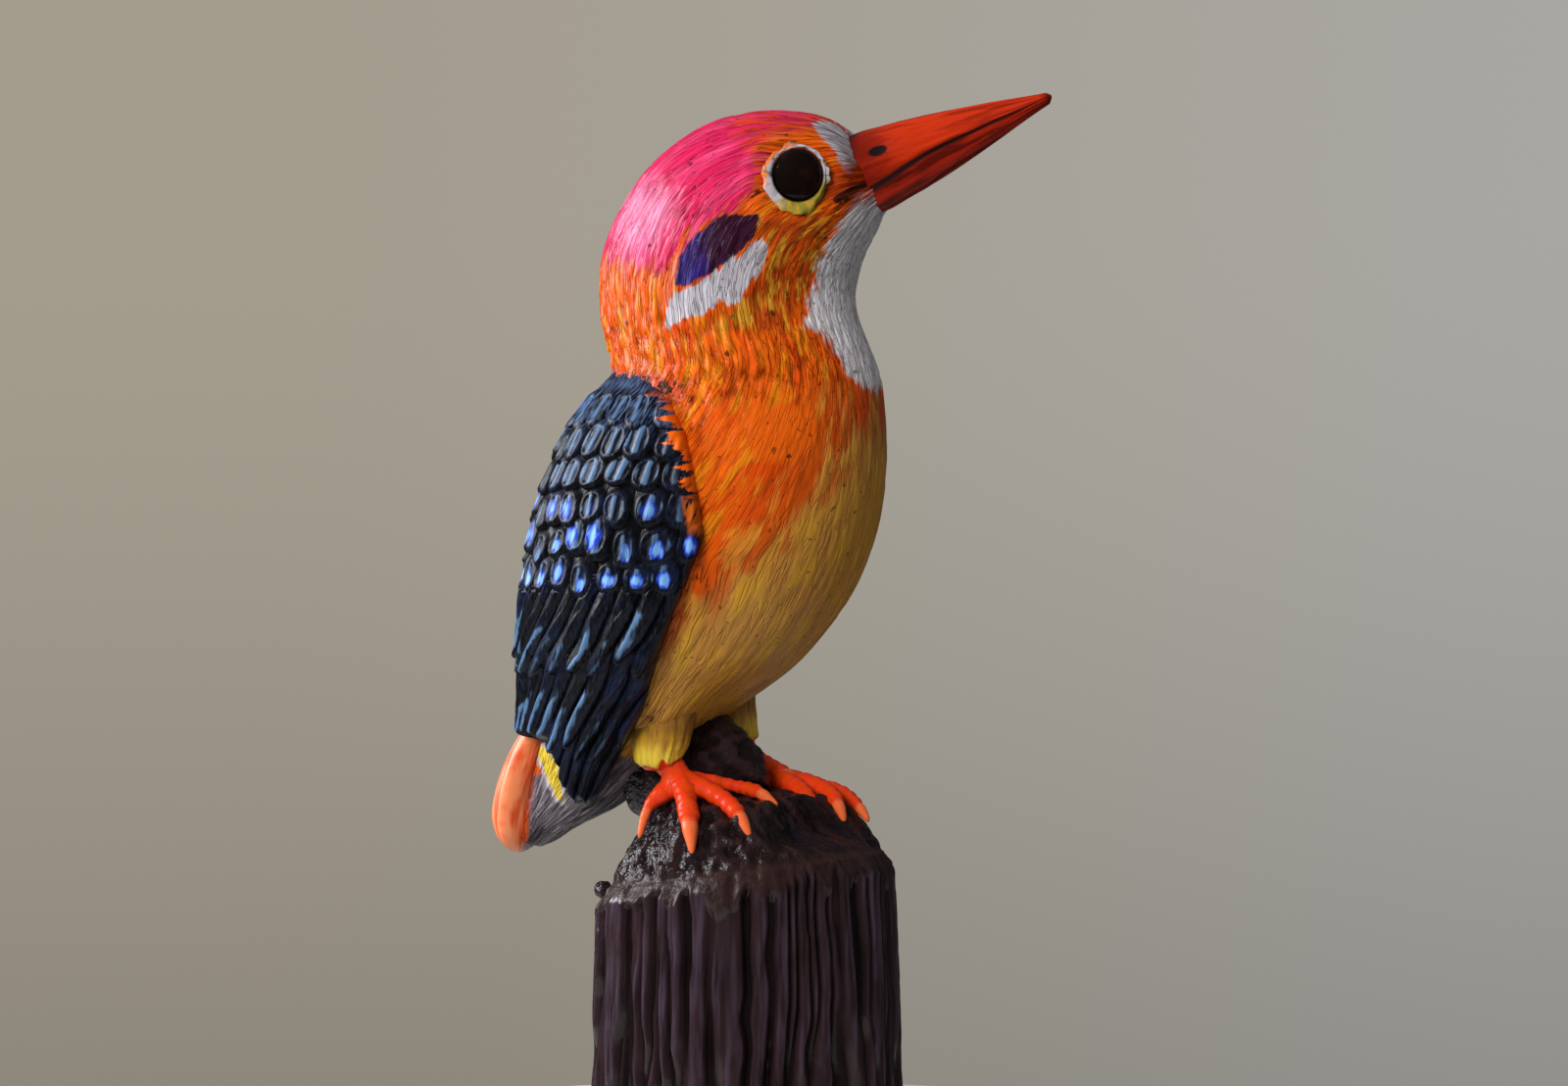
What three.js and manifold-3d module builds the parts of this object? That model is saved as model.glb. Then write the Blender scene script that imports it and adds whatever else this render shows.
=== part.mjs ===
// A hand-painted cast kingfisher perched on a bark-covered stump, with two bead eyes set in its head.
// Millimetres, +Z up. The origin is the centre of the stump's flat underside and the bird faces +X.
import * as THREE from "three";
import { mergeVertices } from "three/addons/utils/BufferGeometryUtils.js";
import Module from "manifold-3d";

const wasm = await Module();
wasm.setup();

// The gap left wherever two separate pieces meet.
const SEAM = 0.3;

// The stump: its base, its broken rim, which leans with the wood, and the rough mound the feet grip.
const STUMP_BASE_RADIUS = 21.9;
const STUMP_RIM_RADIUS = 19.8;
const POST_SHIFT = 0.5;
const RIM_HEIGHT = 49.6;
const RIM_LEAN = { alongX: 0.165, alongY: -0.05 };
const MOUND_TOP = 60.2;
const BARK_SIDES = 72;
const BARK_GROOVE = 0.75;
const KNOB = { x: -18.9, y: -5.2, z: 46.3, radius: 1.2 };

// Each ring of the mound inside the rim: its radius and its share of the rise from rim to top. Its
// radius is scaled by its direction: the mound is hollow at the front right, under the left foot's claws.
const MOUND_RINGS = [
  { radius: 17.8, rise: 0.16 },
  { radius: 15.8, rise: 0.42 },
  { radius: 13.8, rise: 0.74 },
  { radius: 11.6, rise: 0.93 },
  { radius: 7, rise: 0.99 },
  { radius: 0, rise: 1 },
];
const MOUND_OUTLINE = [
  { degrees: -180, scale: 0.98 },
  { degrees: -100, scale: 1 },
  { degrees: -66, scale: 0.9 },
  { degrees: -36, scale: 0.72 },
  { degrees: -3, scale: 0.68 },
  { degrees: 10, scale: 0.9 },
  { degrees: 22, scale: 1.08 },
  { degrees: 70, scale: 1 },
  { degrees: 180, scale: 0.98 },
];

// The lump of wood that rises from the mound to the belly, between and behind the legs.
const LUMP_CENTRE = new THREE.Vector3(-7.8, 0, 62.5);
const LUMP_HALF_SIZE = new THREE.Vector3(11.2, 6.0, 8.5);

// The bird's trunk as stations from the bill's root, over the crown and down the back to the tail's root:
// the point on its back edge, the point on its front edge, both as [x, z], and its half width.
const TRUNK = [
  { back: [18.4, 144.4], front: [18.5, 144.0], half: 0.1 },
  { back: [15.4, 148.7], front: [20.6, 139.6], half: 4.6 },
  { back: [12.8, 150.7], front: [19.4, 137.6], half: 7.8 },
  { back: [8.0, 152.1], front: [18.2, 135.2], half: 10.6 },
  { back: [1.2, 152.1], front: [17.0, 133.0], half: 12.6 },
  { back: [-6.0, 150.0], front: [16.1, 131.0], half: 13.7 },
  { back: [-12.5, 145.3], front: [15.6, 129.0], half: 14.3 },
  { back: [-17.1, 139.2], front: [15.5, 127.0], half: 14.5 },
  { back: [-19.7, 132.9], front: [16.0, 124.4], half: 14.6 },
  { back: [-19.7, 125.4], front: [17.3, 120.8], half: 15.2 },
  { back: [-17.8, 117.6], front: [18.9, 116.2], half: 16.6 },
  { back: [-18.6, 110.4], front: [19.7, 110.2], half: 18.2 },
  { back: [-21.8, 102.3], front: [19.6, 102.9], half: 19.4 },
  { back: [-24.3, 94.1], front: [18.1, 94.7], half: 19.6 },
  { back: [-25.8, 85.9], front: [14.2, 86.4], half: 18.4 },
  { back: [-26.8, 77.7], front: [6.9, 77.4], half: 15.8 },
  { back: [-28.0, 70.9], front: [-2.6, 70.4], half: 12.4 },
  { back: [-29.4, 65.2], front: [-12.0, 62.6], half: 8.6 },
  { back: [-30.6, 60.5], front: [-18.6, 57.4], half: 6.6 },
  { back: [-31.6, 56.0], front: [-25.0, 54.2], half: 5.2 },
  { back: [-31.8, 52.6], front: [-29.4, 51.6], half: 3.6 },
  { back: [-31.0, 51.6], front: [-30.8, 51.5], half: 0.1 },
];
const TRUNK_AROUND = 20;
const TRUNK_ALONG = 30;

// The bill, as a tapering wedge with a line along its mouth.
const BILL_ROOT = new THREE.Vector3(6, 0, 139.5);
const BILL_TIP = new THREE.Vector3(43.4, 0, 153.2);
const BILL_PROFILE = [
  { along: 0, height: 4.4, half: 3.6 },
  { along: 0.2, height: 5.4, half: 4.4 },
  { along: 0.35, height: 5.2, half: 4.2 },
  { along: 0.48, height: 4.55, half: 3.6 },
  { along: 0.64, height: 3.5, half: 2.8 },
  { along: 0.8, height: 2.25, half: 1.9 },
  { along: 0.92, height: 1.25, half: 1.1 },
  { along: 0.985, height: 0.75, half: 0.6 },
  { along: 1, height: 0.1, half: 0.1 },
];
const MOUTH_GROOVE = 0.45;

// The bead eyes and the raised rings round them.
const EYE_PLACE = new THREE.Vector3(11.7, 10.5, 142.9);
const EYE_FACING = new THREE.Vector3(0.4, 0.91, 0.08).normalize();
const EYE_RADIUS = 3.35;
const EYE_DEPTH = 2.4;
const EYE_RING_RADIUS = 3.9;
const EYE_RING_THICKNESS = 0.75;

// The folded wings as a shell round the trunk: at each height, the shell's centre along X, its radii
// along X and Y, and the angles of its front and back edges from +X, in degrees.
const WING = [
  { z: 118, x: -3.0, depth: 14.0, half: 14.0, from: 118, to: 158 },
  { z: 114.5, x: -2.2, depth: 18.2, half: 17.4, from: 98, to: 164 },
  { z: 109, x: -3.0, depth: 21.2, half: 20.2, from: 84, to: 168 },
  { z: 102, x: -4.3, depth: 23.0, half: 21.6, from: 76, to: 170 },
  { z: 95, x: -6.0, depth: 23.3, half: 21.8, from: 69, to: 172 },
  { z: 86, x: -8.8, depth: 21.7, half: 20.6, from: 72, to: 173 },
  { z: 78, x: -11.8, depth: 19.0, half: 18.2, from: 72, to: 173 },
  { z: 71.5, x: -14.6, depth: 16.4, half: 15.6, from: 69, to: 172 },
  { z: 66, x: -17.4, depth: 13.8, half: 13.2, from: 70, to: 170 },
  { z: 61, x: -19.9, depth: 11.2, half: 10.8, from: 72, to: 160 },
  { z: 55, x: -22.2, depth: 8.8, half: 8.4, from: 74, to: 140 },
];

// The wing's outer face is a grid of columns, four to a feather, counted from a line down its middle.
const WING_COLUMNS = 44;
const COLUMNS_PER_FEATHER = 4;
const FEATHER_WIDTH = 4;
const MIDLINE_DEGREES = 121;

// Rows of rounded coverts lie over the upper wing like roof tiles. Tiers of long flight feathers follow
// below them, and the last tier ends on a line that steps down at the primaries.
const COVERTS = { rows: 8, top: 113.2, pitch: 4.15, curve: 2.2, lift: 0.85 };
const FLIGHT = { levels: [79.5, 70.5], curve: 3.4, lift: 1.05 };
const WING_END = [
  { degrees: 68, z: 61.5 },
  { degrees: 76, z: 58.0 },
  { degrees: 96, z: 58.4 },
  { degrees: 107, z: 61.5 },
  { degrees: 117, z: 66.6 },
  { degrees: 175, z: 67.4 },
];

// The short thick tail: a rounded paddle with a groove on each side of its middle vane.
const TAIL_ROOT = new THREE.Vector3(-29.8, 0, 68);
const TAIL_END = new THREE.Vector3(-33.6, 0, 50.4);
const TAIL_BULGE = 1.2;
const TAIL_HALF_WIDTH = 5.8;
const TAIL_HALF_DEPTH = 2.9;
const TAIL_GROOVE = 0.9;

// The legs and toes, each as a path of [x, y, z, radius]: first the right leg's, then the left leg's.
const THIGHS = [
  [[-7.0, -8.0, 75, 5.2], [-8.2, -8.8, 69, 4.1], [-8.9, -8.9, 65.8, 3.6], [-8.4, -8.8, 63.6, 2.1]],
  [[-5.8, 8.0, 75, 4.8], [-4.7, 8.2, 70, 3.2], [-3.8, 8.0, 67.2, 2.6], [-3.2, 8.0, 65.4, 1.8]],
];
const TOES = [
  [[-8.4, -8.8, 65, 1.6], [-6.2, -8.7, 62.4, 1.9], [-9.3, -11.0, 58.7, 0.9], [-10.1, -12.8, 54.4, 0.35]],
  [[-6.4, -8.7, 62.6, 1.8], [-4.2, -11.0, 60.5, 1.5], [-2.4, -13.9, 57.4, 1.35], [-1.0, -16.3, 53.0, 0.35]],
  [[-6.4, -8.6, 62.4, 1.7], [0, -9.8, 60.3, 1.25], [3.6, -11.5, 58.2, 1.1], [5.9, -12.9, 55.4, 0.4]],
  [[-6.2, -8.2, 62.3, 1.5], [0.5, -5.4, 61.3, 0.85], [4.1, -5.2, 60.5, 0.95], [7.4, -6.1, 58.8, 0.35]],
  [[-3.4, 8.0, 65.6, 1.7], [-1.0, 7.8, 63.0, 1.9], [3.1, 6.6, 61.0, 2.1], [5.2, 6.2, 60.6, 1.6]],
  [[2.6, 6.4, 61.0, 1.7], [6.4, 3.8, 60.3, 1.4], [9.2, 1.4, 58.5, 1.1], [10.3, 0.2, 55.4, 0.35]],
  [[3.2, 6.8, 61.0, 1.8], [8.6, 6.0, 60.3, 1.4], [12.2, 3.7, 58.6, 1.05], [13.9, 2.4, 56.0, 0.35]],
  [[3.2, 7.4, 60.9, 1.6], [10.3, 8.6, 59.5, 1.2], [13.8, 7.6, 57.8, 0.95], [16.0, 6.6, 55.7, 0.35]],
  [[-1.2, 8.2, 62.9, 1.5], [-4.8, 10.4, 60.6, 0.9], [-7.8, 12.2, 56.2, 0.4]],
];

const at = (x, y, z) => new THREE.Vector3(x, y, z);

// The triangles of a three.js geometry as a solid, turned outside out if its shape was mirrored.
function solidFrom(geometry) {
  geometry.deleteAttribute("normal");
  geometry.deleteAttribute("uv");
  const merged = mergeVertices(geometry, 1e-4);
  const corners = merged.index.array;
  const kept = [];
  for (let i = 0; i < corners.length; i += 3) {
    const [a, b, c] = [corners[i], corners[i + 1], corners[i + 2]];
    if (a !== b && b !== c && c !== a) kept.push(a, b, c);
  }
  const vertProperties = new Float32Array(merged.attributes.position.array);
  const build = (triVerts) => new wasm.Manifold(new wasm.Mesh({ numProp: 3, vertProperties, triVerts }));
  const made = build(new Uint32Array(kept));
  return made.volume() > 0 ? made : build(new Uint32Array(kept).reverse());
}

function meshFrom(name, solid, colour, roughness) {
  const { vertProperties, triVerts } = solid.getMesh();
  const geometry = new THREE.BufferGeometry();
  geometry.setAttribute("position", new THREE.BufferAttribute(new Float32Array(vertProperties), 3));
  geometry.setIndex(new THREE.BufferAttribute(new Uint32Array(triVerts), 1));
  geometry.computeVertexNormals();
  const material = new THREE.MeshStandardMaterial({ color: colour, roughness, metalness: 0 });
  const mesh = new THREE.Mesh(geometry, material);
  mesh.name = name;
  return mesh;
}

const joinAll = (solids) => solids.reduce((whole, next) => whole.add(next));

// A closed body: a sphere's grid, with each point moved to place(along from 0 to 1, angle in radians).
function skin(around, along, place) {
  const geometry = new THREE.SphereGeometry(1, around, along);
  const { position, uv } = geometry.attributes;
  for (let i = 0; i < position.count; i += 1) {
    const point = place(1 - uv.getY(i), uv.getX(i) * 2 * Math.PI);
    position.setXYZ(i, point.x, point.y, point.z);
  }
  return solidFrom(geometry);
}

// A closed slab: a box's grid, with each point moved to place(across, along, through), each from 0 to 1.
function slab(across, along, place) {
  const geometry = new THREE.BoxGeometry(1, 1, 1, across, along, 1);
  const { position } = geometry.attributes;
  for (let i = 0; i < position.count; i += 1) {
    const point = place(position.getX(i) + 0.5, position.getY(i) + 0.5, position.getZ(i) + 0.5);
    position.setXYZ(i, point.x, point.y, point.z);
  }
  return solidFrom(geometry);
}

// A round limb along a path of { centre, radius }, each ring square to the path and both ends capped.
function limb(stations, around, along) {
  const centres = new THREE.CatmullRomCurve3(stations.map((s) => s.centre), false, "chordal");
  const sizes = new THREE.CatmullRomCurve3(stations.map((s, i) => at(i, s.radius, 0)));
  const frames = centres.computeFrenetFrames(along - 2, false);
  return skin(around, along, (v, angle) => {
    const ring = THREE.MathUtils.clamp(Math.round(v * along) - 1, 0, along - 2);
    const centre = centres.getPointAt(ring / (along - 2));
    if (v <= 0 || v >= 1) return centre;
    const radius = sizes.getPoint(centres.getUtoTmapping(ring / (along - 2))).y;
    centre.addScaledVector(frames.normals[ring], radius * Math.cos(angle));
    return centre.addScaledVector(frames.binormals[ring], radius * Math.sin(angle));
  });
}

const lerp = THREE.MathUtils.lerp;

// The value of each named number of a station list at a height or share, read between its stations.
function between(stations, key, value, names) {
  const falling = stations[0][key] > stations[stations.length - 1][key];
  let i = 1;
  while (i < stations.length - 1 && (falling ? stations[i][key] > value : stations[i][key] < value)) i += 1;
  const [a, b] = [stations[i - 1], stations[i]];
  const share = THREE.MathUtils.clamp((value - a[key]) / (b[key] - a[key]), 0, 1);
  return Object.fromEntries(names.map((name) => [name, lerp(a[name], b[name], share)]));
}

const trunkBacks = new THREE.CatmullRomCurve3(TRUNK.map((s) => at(s.back[0], s.half, s.back[1])));
const trunkFronts = new THREE.CatmullRomCurve3(TRUNK.map((s) => at(s.front[0], 0, s.front[1])));

function trunk(grow) {
  return skin(TRUNK_AROUND, TRUNK_ALONG, (v, angle) => {
    const back = trunkBacks.getPoint(v);
    const half = back.y;
    back.y = 0;
    const front = trunkFronts.getPoint(v);
    const centre = back.clone().add(front).multiplyScalar(0.5);
    if (v <= 0 || v >= 1) return centre;
    const reach = front.sub(centre);
    reach.setLength(reach.length() + grow);
    return centre.addScaledVector(reach, Math.cos(angle)).add(at(0, (half + grow) * Math.sin(angle), 0));
  });
}

function bill() {
  const axis = BILL_TIP.clone().sub(BILL_ROOT);
  const upward = at(-axis.z, 0, axis.x).normalize();
  const rows = BILL_PROFILE.length + 3;
  return skin(14, rows, (v, angle) => {
    const size = between(BILL_PROFILE, "along", v, ["height", "half"]);
    const point = BILL_ROOT.clone().addScaledVector(axis, v);
    if (v <= 0 || v >= 1) return point;
    const mouth = Math.abs(Math.sin(angle)) < 0.2 ? MOUTH_GROOVE * Math.min(1, size.half / 3) : 0;
    point.addScaledVector(upward, size.height * Math.sin(angle) - 0.12 * size.height);
    return point.add(at(0, (size.half - mouth) * Math.cos(angle), 0));
  });
}

const mirrored = (vector, side) => at(vector.x, vector.y * side, vector.z);

// A shape made round +Z, turned to face out of the head at one eye.
function atEye(geometry, side, inset) {
  const facing = mirrored(EYE_FACING, side);
  geometry.applyQuaternion(new THREE.Quaternion().setFromUnitVectors(at(0, 0, 1), facing));
  const place = mirrored(EYE_PLACE, side).addScaledVector(facing, -inset);
  return solidFrom(geometry.translate(place.x, place.y, place.z));
}

const EYE_INSET = 0.2;

function eyeBead(side, grow) {
  const radius = EYE_RADIUS + grow;
  const bead = new THREE.SphereGeometry(radius, 14, 8);
  bead.rotateX(Math.PI / 2).scale(1, 1, (EYE_DEPTH + grow) / radius);
  return atEye(bead, side, EYE_INSET);
}

function eyeRing(side) {
  return atEye(new THREE.TorusGeometry(EYE_RING_RADIUS, EYE_RING_THICKNESS, 5, 16), side, EYE_INSET);
}

// A point on the wing's shell at a height and an angle, moved out from the shell by lift.
function onWing(side, z, degrees, lift) {
  const angle = THREE.MathUtils.degToRad(degrees);
  const { x, depth, half } = between(WING, "z", z, ["x", "depth", "half"]);
  const out = at(Math.cos(angle) / depth, Math.sin(angle) / half, 0).normalize();
  const point = at(x + depth * Math.cos(angle), half * Math.sin(angle), z).addScaledVector(out, lift);
  return mirrored(point, side);
}

// How far down a feather's rounded end reaches at a share across it, from 0 at its sides to 1.
const roundEnd = (share) => 1 - Math.abs(2 * share - 1) ** 2.4;

// Where the column of a wing crosses a height, as an angle round the shell. Columns stay a set distance
// apart over the coverts and draw together below them.
function columnDegrees(column, z) {
  const { depth, half } = between(WING, "z", Math.max(z, FLIGHT.levels[0]), ["depth", "half"]);
  const arc = (column * FEATHER_WIDTH) / COLUMNS_PER_FEATHER;
  return MIDLINE_DEGREES + THREE.MathUtils.radToDeg((2 * arc) / (depth + half));
}

// The lower edge of a row of feathers at one column: its height, its angle and its lift from the shell.
function featherEdge(row, column) {
  const isCovert = row < COVERTS.rows;
  const tier = row - COVERTS.rows;
  const { curve, lift } = isCovert ? COVERTS : FLIGHT;
  const isLast = tier === FLIGHT.levels.length;
  const share = THREE.MathUtils.euclideanModulo(column / COLUMNS_PER_FEATHER + row / 2, 1);
  const start = isCovert ? COVERTS.top - row * COVERTS.pitch : FLIGHT.levels[Math.min(tier, 1)];
  const wanted = columnDegrees(column, isLast ? 66 : start);
  const level = isLast ? between(WING_END, "degrees", wanted, ["z"]).z : start;
  const bounds = between(WING, "z", level, ["from", "to"]);
  const isInside = wanted > bounds.from && wanted < bounds.to;
  const z = isInside ? level - (isLast ? 0.3 : 1) * curve * roundEnd(share) : level;
  const { from, to } = between(WING, "z", z, ["from", "to"]);
  const degrees = THREE.MathUtils.clamp(isInside ? wanted : wanted < bounds.from ? from : to, from, to);
  return { z, degrees, lift: lift * (isInside ? 0.45 + 0.55 * roundEnd(share) : 0.2) };
}

// One wing: a grid whose rows step down at the lower edge of every row of feathers, closed by a wedge
// that runs in to a line inside the trunk.
function wing(side) {
  const rows = COVERTS.rows + FLIGHT.levels.length + 1;
  const steps = 2 * rows;
  const crest = WING[0];
  return slab(WING_COLUMNS, steps, (across, along, through) => {
    const step = Math.round((1 - along) * steps);
    if (through < 0.5) return at(lerp(-7, -19, step / steps), side * 3, lerp(115, 60, step / steps));
    const column = Math.round(across * WING_COLUMNS) - WING_COLUMNS / 2;
    if (step === 0) {
      const degrees = THREE.MathUtils.clamp(columnDegrees(column, crest.z), crest.from, crest.to);
      return onWing(side, crest.z, degrees, -1);
    }
    const { z, degrees, lift } = featherEdge(Math.ceil(step / 2) - 1, column);
    return onWing(side, z, degrees, step % 2 === 1 ? lift : -0.1);
  });
}

// The tail's paddle, widest two thirds of the way down, with its grooves on the back face.
function tail() {
  const length = TAIL_END.clone().sub(TAIL_ROOT);
  const backward = at(length.z, 0, -length.x).normalize();
  const rows = 9;
  return skin(16, rows, (v, angle) => {
    const share = THREE.MathUtils.clamp((v * rows - 0.6) / (rows - 1.2), 0, 1);
    const point = TAIL_ROOT.clone().addScaledVector(length, share);
    if (v <= 0 || v >= 1) return point;
    const swell = 0.62 + 0.38 * Math.sin(Math.min(1, share * 1.35) * (Math.PI / 2));
    const tip = Math.sqrt(Math.max(0.06, 1 - Math.max(0, (share - 0.68) / 0.34) ** 2));
    const across = Math.sin(angle);
    const isGroove = Math.cos(angle) > 0.1 && Math.abs(Math.abs(across) - 0.55) < 0.2;
    const depth = TAIL_HALF_DEPTH * Math.cos(angle) - (isGroove ? TAIL_GROOVE : 0);
    point.addScaledVector(backward, depth * swell * tip + TAIL_BULGE * Math.sin(share * Math.PI));
    return point.add(at(0, TAIL_HALF_WIDTH * swell * tip * across, 0));
  });
}

// A thigh or a toe along its path, made thicker all round by grow.
function legPiece(path, grow, around, along) {
  const stations = path.map(([x, y, z, radius]) => ({ centre: at(x, y, z), radius: radius + grow }));
  return limb(stations, around, along);
}

const legsAndFeet = (grow) => [
  ...THIGHS.map((path) => legPiece(path, grow, 10, 7)),
  ...TOES.map((path) => legPiece(path, grow, 6, 8)),
];

function kingfisher() {
  const parts = [trunk(0), bill(), tail(), ...legsAndFeet(0)];
  for (const side of [-1, 1]) {
    parts.push(wing(side), eyeRing(side));
  }
  const sockets = [-1, 1].map((side) => eyeBead(side, SEAM));
  return joinAll(parts).subtract(joinAll(sockets));
}

// Rings of the post from the middle of its underside up to its rim: radius, height and share of groove.
const POST_RINGS = [
  { radius: 0, z: 0, groove: 0 },
  { radius: STUMP_BASE_RADIUS, z: 0, groove: 0.4 },
  { radius: 21.0, z: 18, groove: 1 },
  { radius: 20.2, z: 42, groove: 1 },
  { radius: STUMP_RIM_RADIUS, z: RIM_HEIGHT, groove: 0.8 },
];

// The bark's ridges and the mound's lumps, as waves of several lengths round the stump.
const ridge = (angle) => Math.sin(angle * 23) + 0.6 * Math.sin(angle * 37 + 1) + 0.5 * Math.sin(angle * 11 + 2);
const lumpAt = (angle, row) => 0.35 * Math.sin(angle * 7 + row * 2) + 0.25 * Math.sin(angle * 15 + row);

function post() {
  const rings = [...POST_RINGS, ...MOUND_RINGS];
  const last = rings.length - 1;
  return skin(BARK_SIDES, last, (v, angle) => {
    const index = Math.round(v * last);
    const { radius, z = RIM_HEIGHT, groove = 0.15, rise = 0 } = rings[index];
    const degrees = THREE.MathUtils.euclideanModulo(THREE.MathUtils.radToDeg(angle) + 180, 360) - 180;
    const { scale } = between(MOUND_OUTLINE, "degrees", degrees, ["scale"]);
    const lumps = rise > 0 && rise < 1 ? lumpAt(angle, index) : 0;
    const bark = 0.5 * BARK_GROOVE * groove * ridge(angle);
    const size = radius * lerp(1, scale, Math.min(1, rise / 0.4)) + (lumps + bark) * Math.min(1, radius);
    const [x, y] = [size * Math.cos(angle), size * Math.sin(angle)];
    if (z < 40) return at(x + (z > 0 ? POST_SHIFT : 0), y, z);
    const rim = z + RIM_LEAN.alongX * x + RIM_LEAN.alongY * y;
    return at(x + (1 - rise) * POST_SHIFT, y, lerp(rim, MOUND_TOP, rise) + lumps * 0.6 * Math.min(1, radius));
  });
}

function lump() {
  const shape = new THREE.SphereGeometry(1, 16, 10);
  shape.rotateX(Math.PI / 2).scale(LUMP_HALF_SIZE.x, LUMP_HALF_SIZE.y, LUMP_HALF_SIZE.z);
  return solidFrom(shape.translate(LUMP_CENTRE.x, LUMP_CENTRE.y, LUMP_CENTRE.z));
}

function knob() {
  return solidFrom(new THREE.SphereGeometry(KNOB.radius, 8, 6).translate(KNOB.x, KNOB.y, KNOB.z));
}

function stump() {
  const room = joinAll([trunk(SEAM), ...legsAndFeet(SEAM)]);
  return joinAll([post(), lump(), knob()]).subtract(room);
}

const figure = new THREE.Group();
figure.add(meshFrom("kingfisher", kingfisher(), 0xd65a18, 0.4));
figure.add(meshFrom("eye_right", eyeBead(-1, 0), 0x140c0c, 0.05));
figure.add(meshFrom("eye_left", eyeBead(1, 0), 0x140c0c, 0.05));
figure.add(meshFrom("stump", stump(), 0x2a1c1e, 0.35));

export default figure;
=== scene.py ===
"""A hand-painted cast kingfisher on a bark-covered stump, dressed for a soft studio portrait.

Shapes are worked out in millimetres in the part's own frame and become metres when a piece is cast. The paint
is laid on from the side that shows, and the far side of the bird takes the same paint, mirrored.
"""

import logging
import math
from dataclasses import dataclass
from enum import Enum, IntEnum
from typing import Callable, Mapping, Sequence, Union

import bmesh
import bpy
import numpy as np
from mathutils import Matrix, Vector


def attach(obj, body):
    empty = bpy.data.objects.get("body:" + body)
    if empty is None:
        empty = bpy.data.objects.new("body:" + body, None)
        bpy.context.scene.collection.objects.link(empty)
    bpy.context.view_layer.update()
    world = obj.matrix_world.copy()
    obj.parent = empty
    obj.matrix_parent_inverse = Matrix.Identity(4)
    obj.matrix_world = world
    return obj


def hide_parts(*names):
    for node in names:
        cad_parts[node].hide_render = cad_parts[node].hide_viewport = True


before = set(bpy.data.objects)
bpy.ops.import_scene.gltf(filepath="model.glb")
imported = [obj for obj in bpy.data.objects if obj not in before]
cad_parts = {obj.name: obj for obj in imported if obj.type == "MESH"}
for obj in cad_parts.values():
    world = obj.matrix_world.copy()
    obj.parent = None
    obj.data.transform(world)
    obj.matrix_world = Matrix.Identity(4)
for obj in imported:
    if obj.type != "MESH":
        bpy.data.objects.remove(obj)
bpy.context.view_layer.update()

LOG = logging.getLogger("kingfisher")
MM = 0.001
Array = np.ndarray
Outline = Sequence[tuple[float, float]]

# The odd numbers that mix a lattice cell's column, row and seed, and the mask that keeps 32 bits.
MIX_COLUMN, MIX_ROW, MIX_SEED, MIX_AGAIN = 374761393, 668265263, 974634777, 1274126177
WORD = 0xFFFFFFFF
# How near two points are to be one, and how short an edge is to be none, in metres.
WELD_GAP = 0.002 * MM
SHORTEST_EDGE = 1e-7
# The portrait's pixels to a millimetre at the bird.
IMAGE_SCALE = 7.5


# Shape maths


def ease(value: Array, low: float, high: float) -> Array:
    """A smooth step from 0 at low to 1 at high."""
    share = np.clip((value - low) / (high - low), 0, 1)
    return share * share * (3 - 2 * share)


def mound(distance: Array, reach: float) -> Array:
    """A soft bump that is 1 at no distance and fades out past reach."""
    return np.exp(-((distance / reach) ** 2))


def scatter(column: Array, row: Array, seed: int) -> Array:
    """Fixed random numbers for the cells of a lattice.

    Args:
        column: each cell's column.
        row: each cell's row.
        seed: which set of numbers.

    Returns:
        A number from -1 to 1 for each cell.
    """
    mixed = (column.astype(np.int64) * MIX_COLUMN + row.astype(np.int64) * MIX_ROW + seed * MIX_SEED) & WORD
    mixed = ((mixed ^ (mixed >> 13)) * MIX_AGAIN) & WORD
    return ((mixed ^ (mixed >> 16)) & 0xFFFF) / 32767.5 - 1


def ripple(x: Array, y: Array, seed: int, wrap: int = 0) -> Array:
    """Smooth noise from -1 to 1.

    Args:
        x: place along the first axis, in cells.
        y: place along the second axis, in cells.
        seed: which noise of its kind.
        wrap: the number of cells after which x repeats, or 0.

    Returns:
        The noise at each place.
    """
    column, row = np.floor(x), np.floor(y)
    across, along = x - column, y - row
    across, along = ease(across, 0, 1), ease(along, 0, 1)
    after = column + 1
    if wrap:
        column, after = column % wrap, after % wrap
    near = scatter(column, row, seed) * (1 - across) + scatter(after, row, seed) * across
    far = scatter(column, row + 1, seed) * (1 - across) + scatter(after, row + 1, seed) * across
    return near * (1 - along) + far * along


def ring_ripple(turn: Array, along: Array, seed: int, cells: int) -> Array:
    """Smooth noise round a full turn in a whole number of cells, so that it has no seam."""
    return ripple(turn * cells / (2 * np.pi), along, seed, cells)


def folded(points: Array) -> Array:
    """Points with those of the bird's right side mirrored onto its left."""
    return np.stack([points[..., 0], np.abs(points[..., 1]), points[..., 2]], axis=-1)


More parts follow.
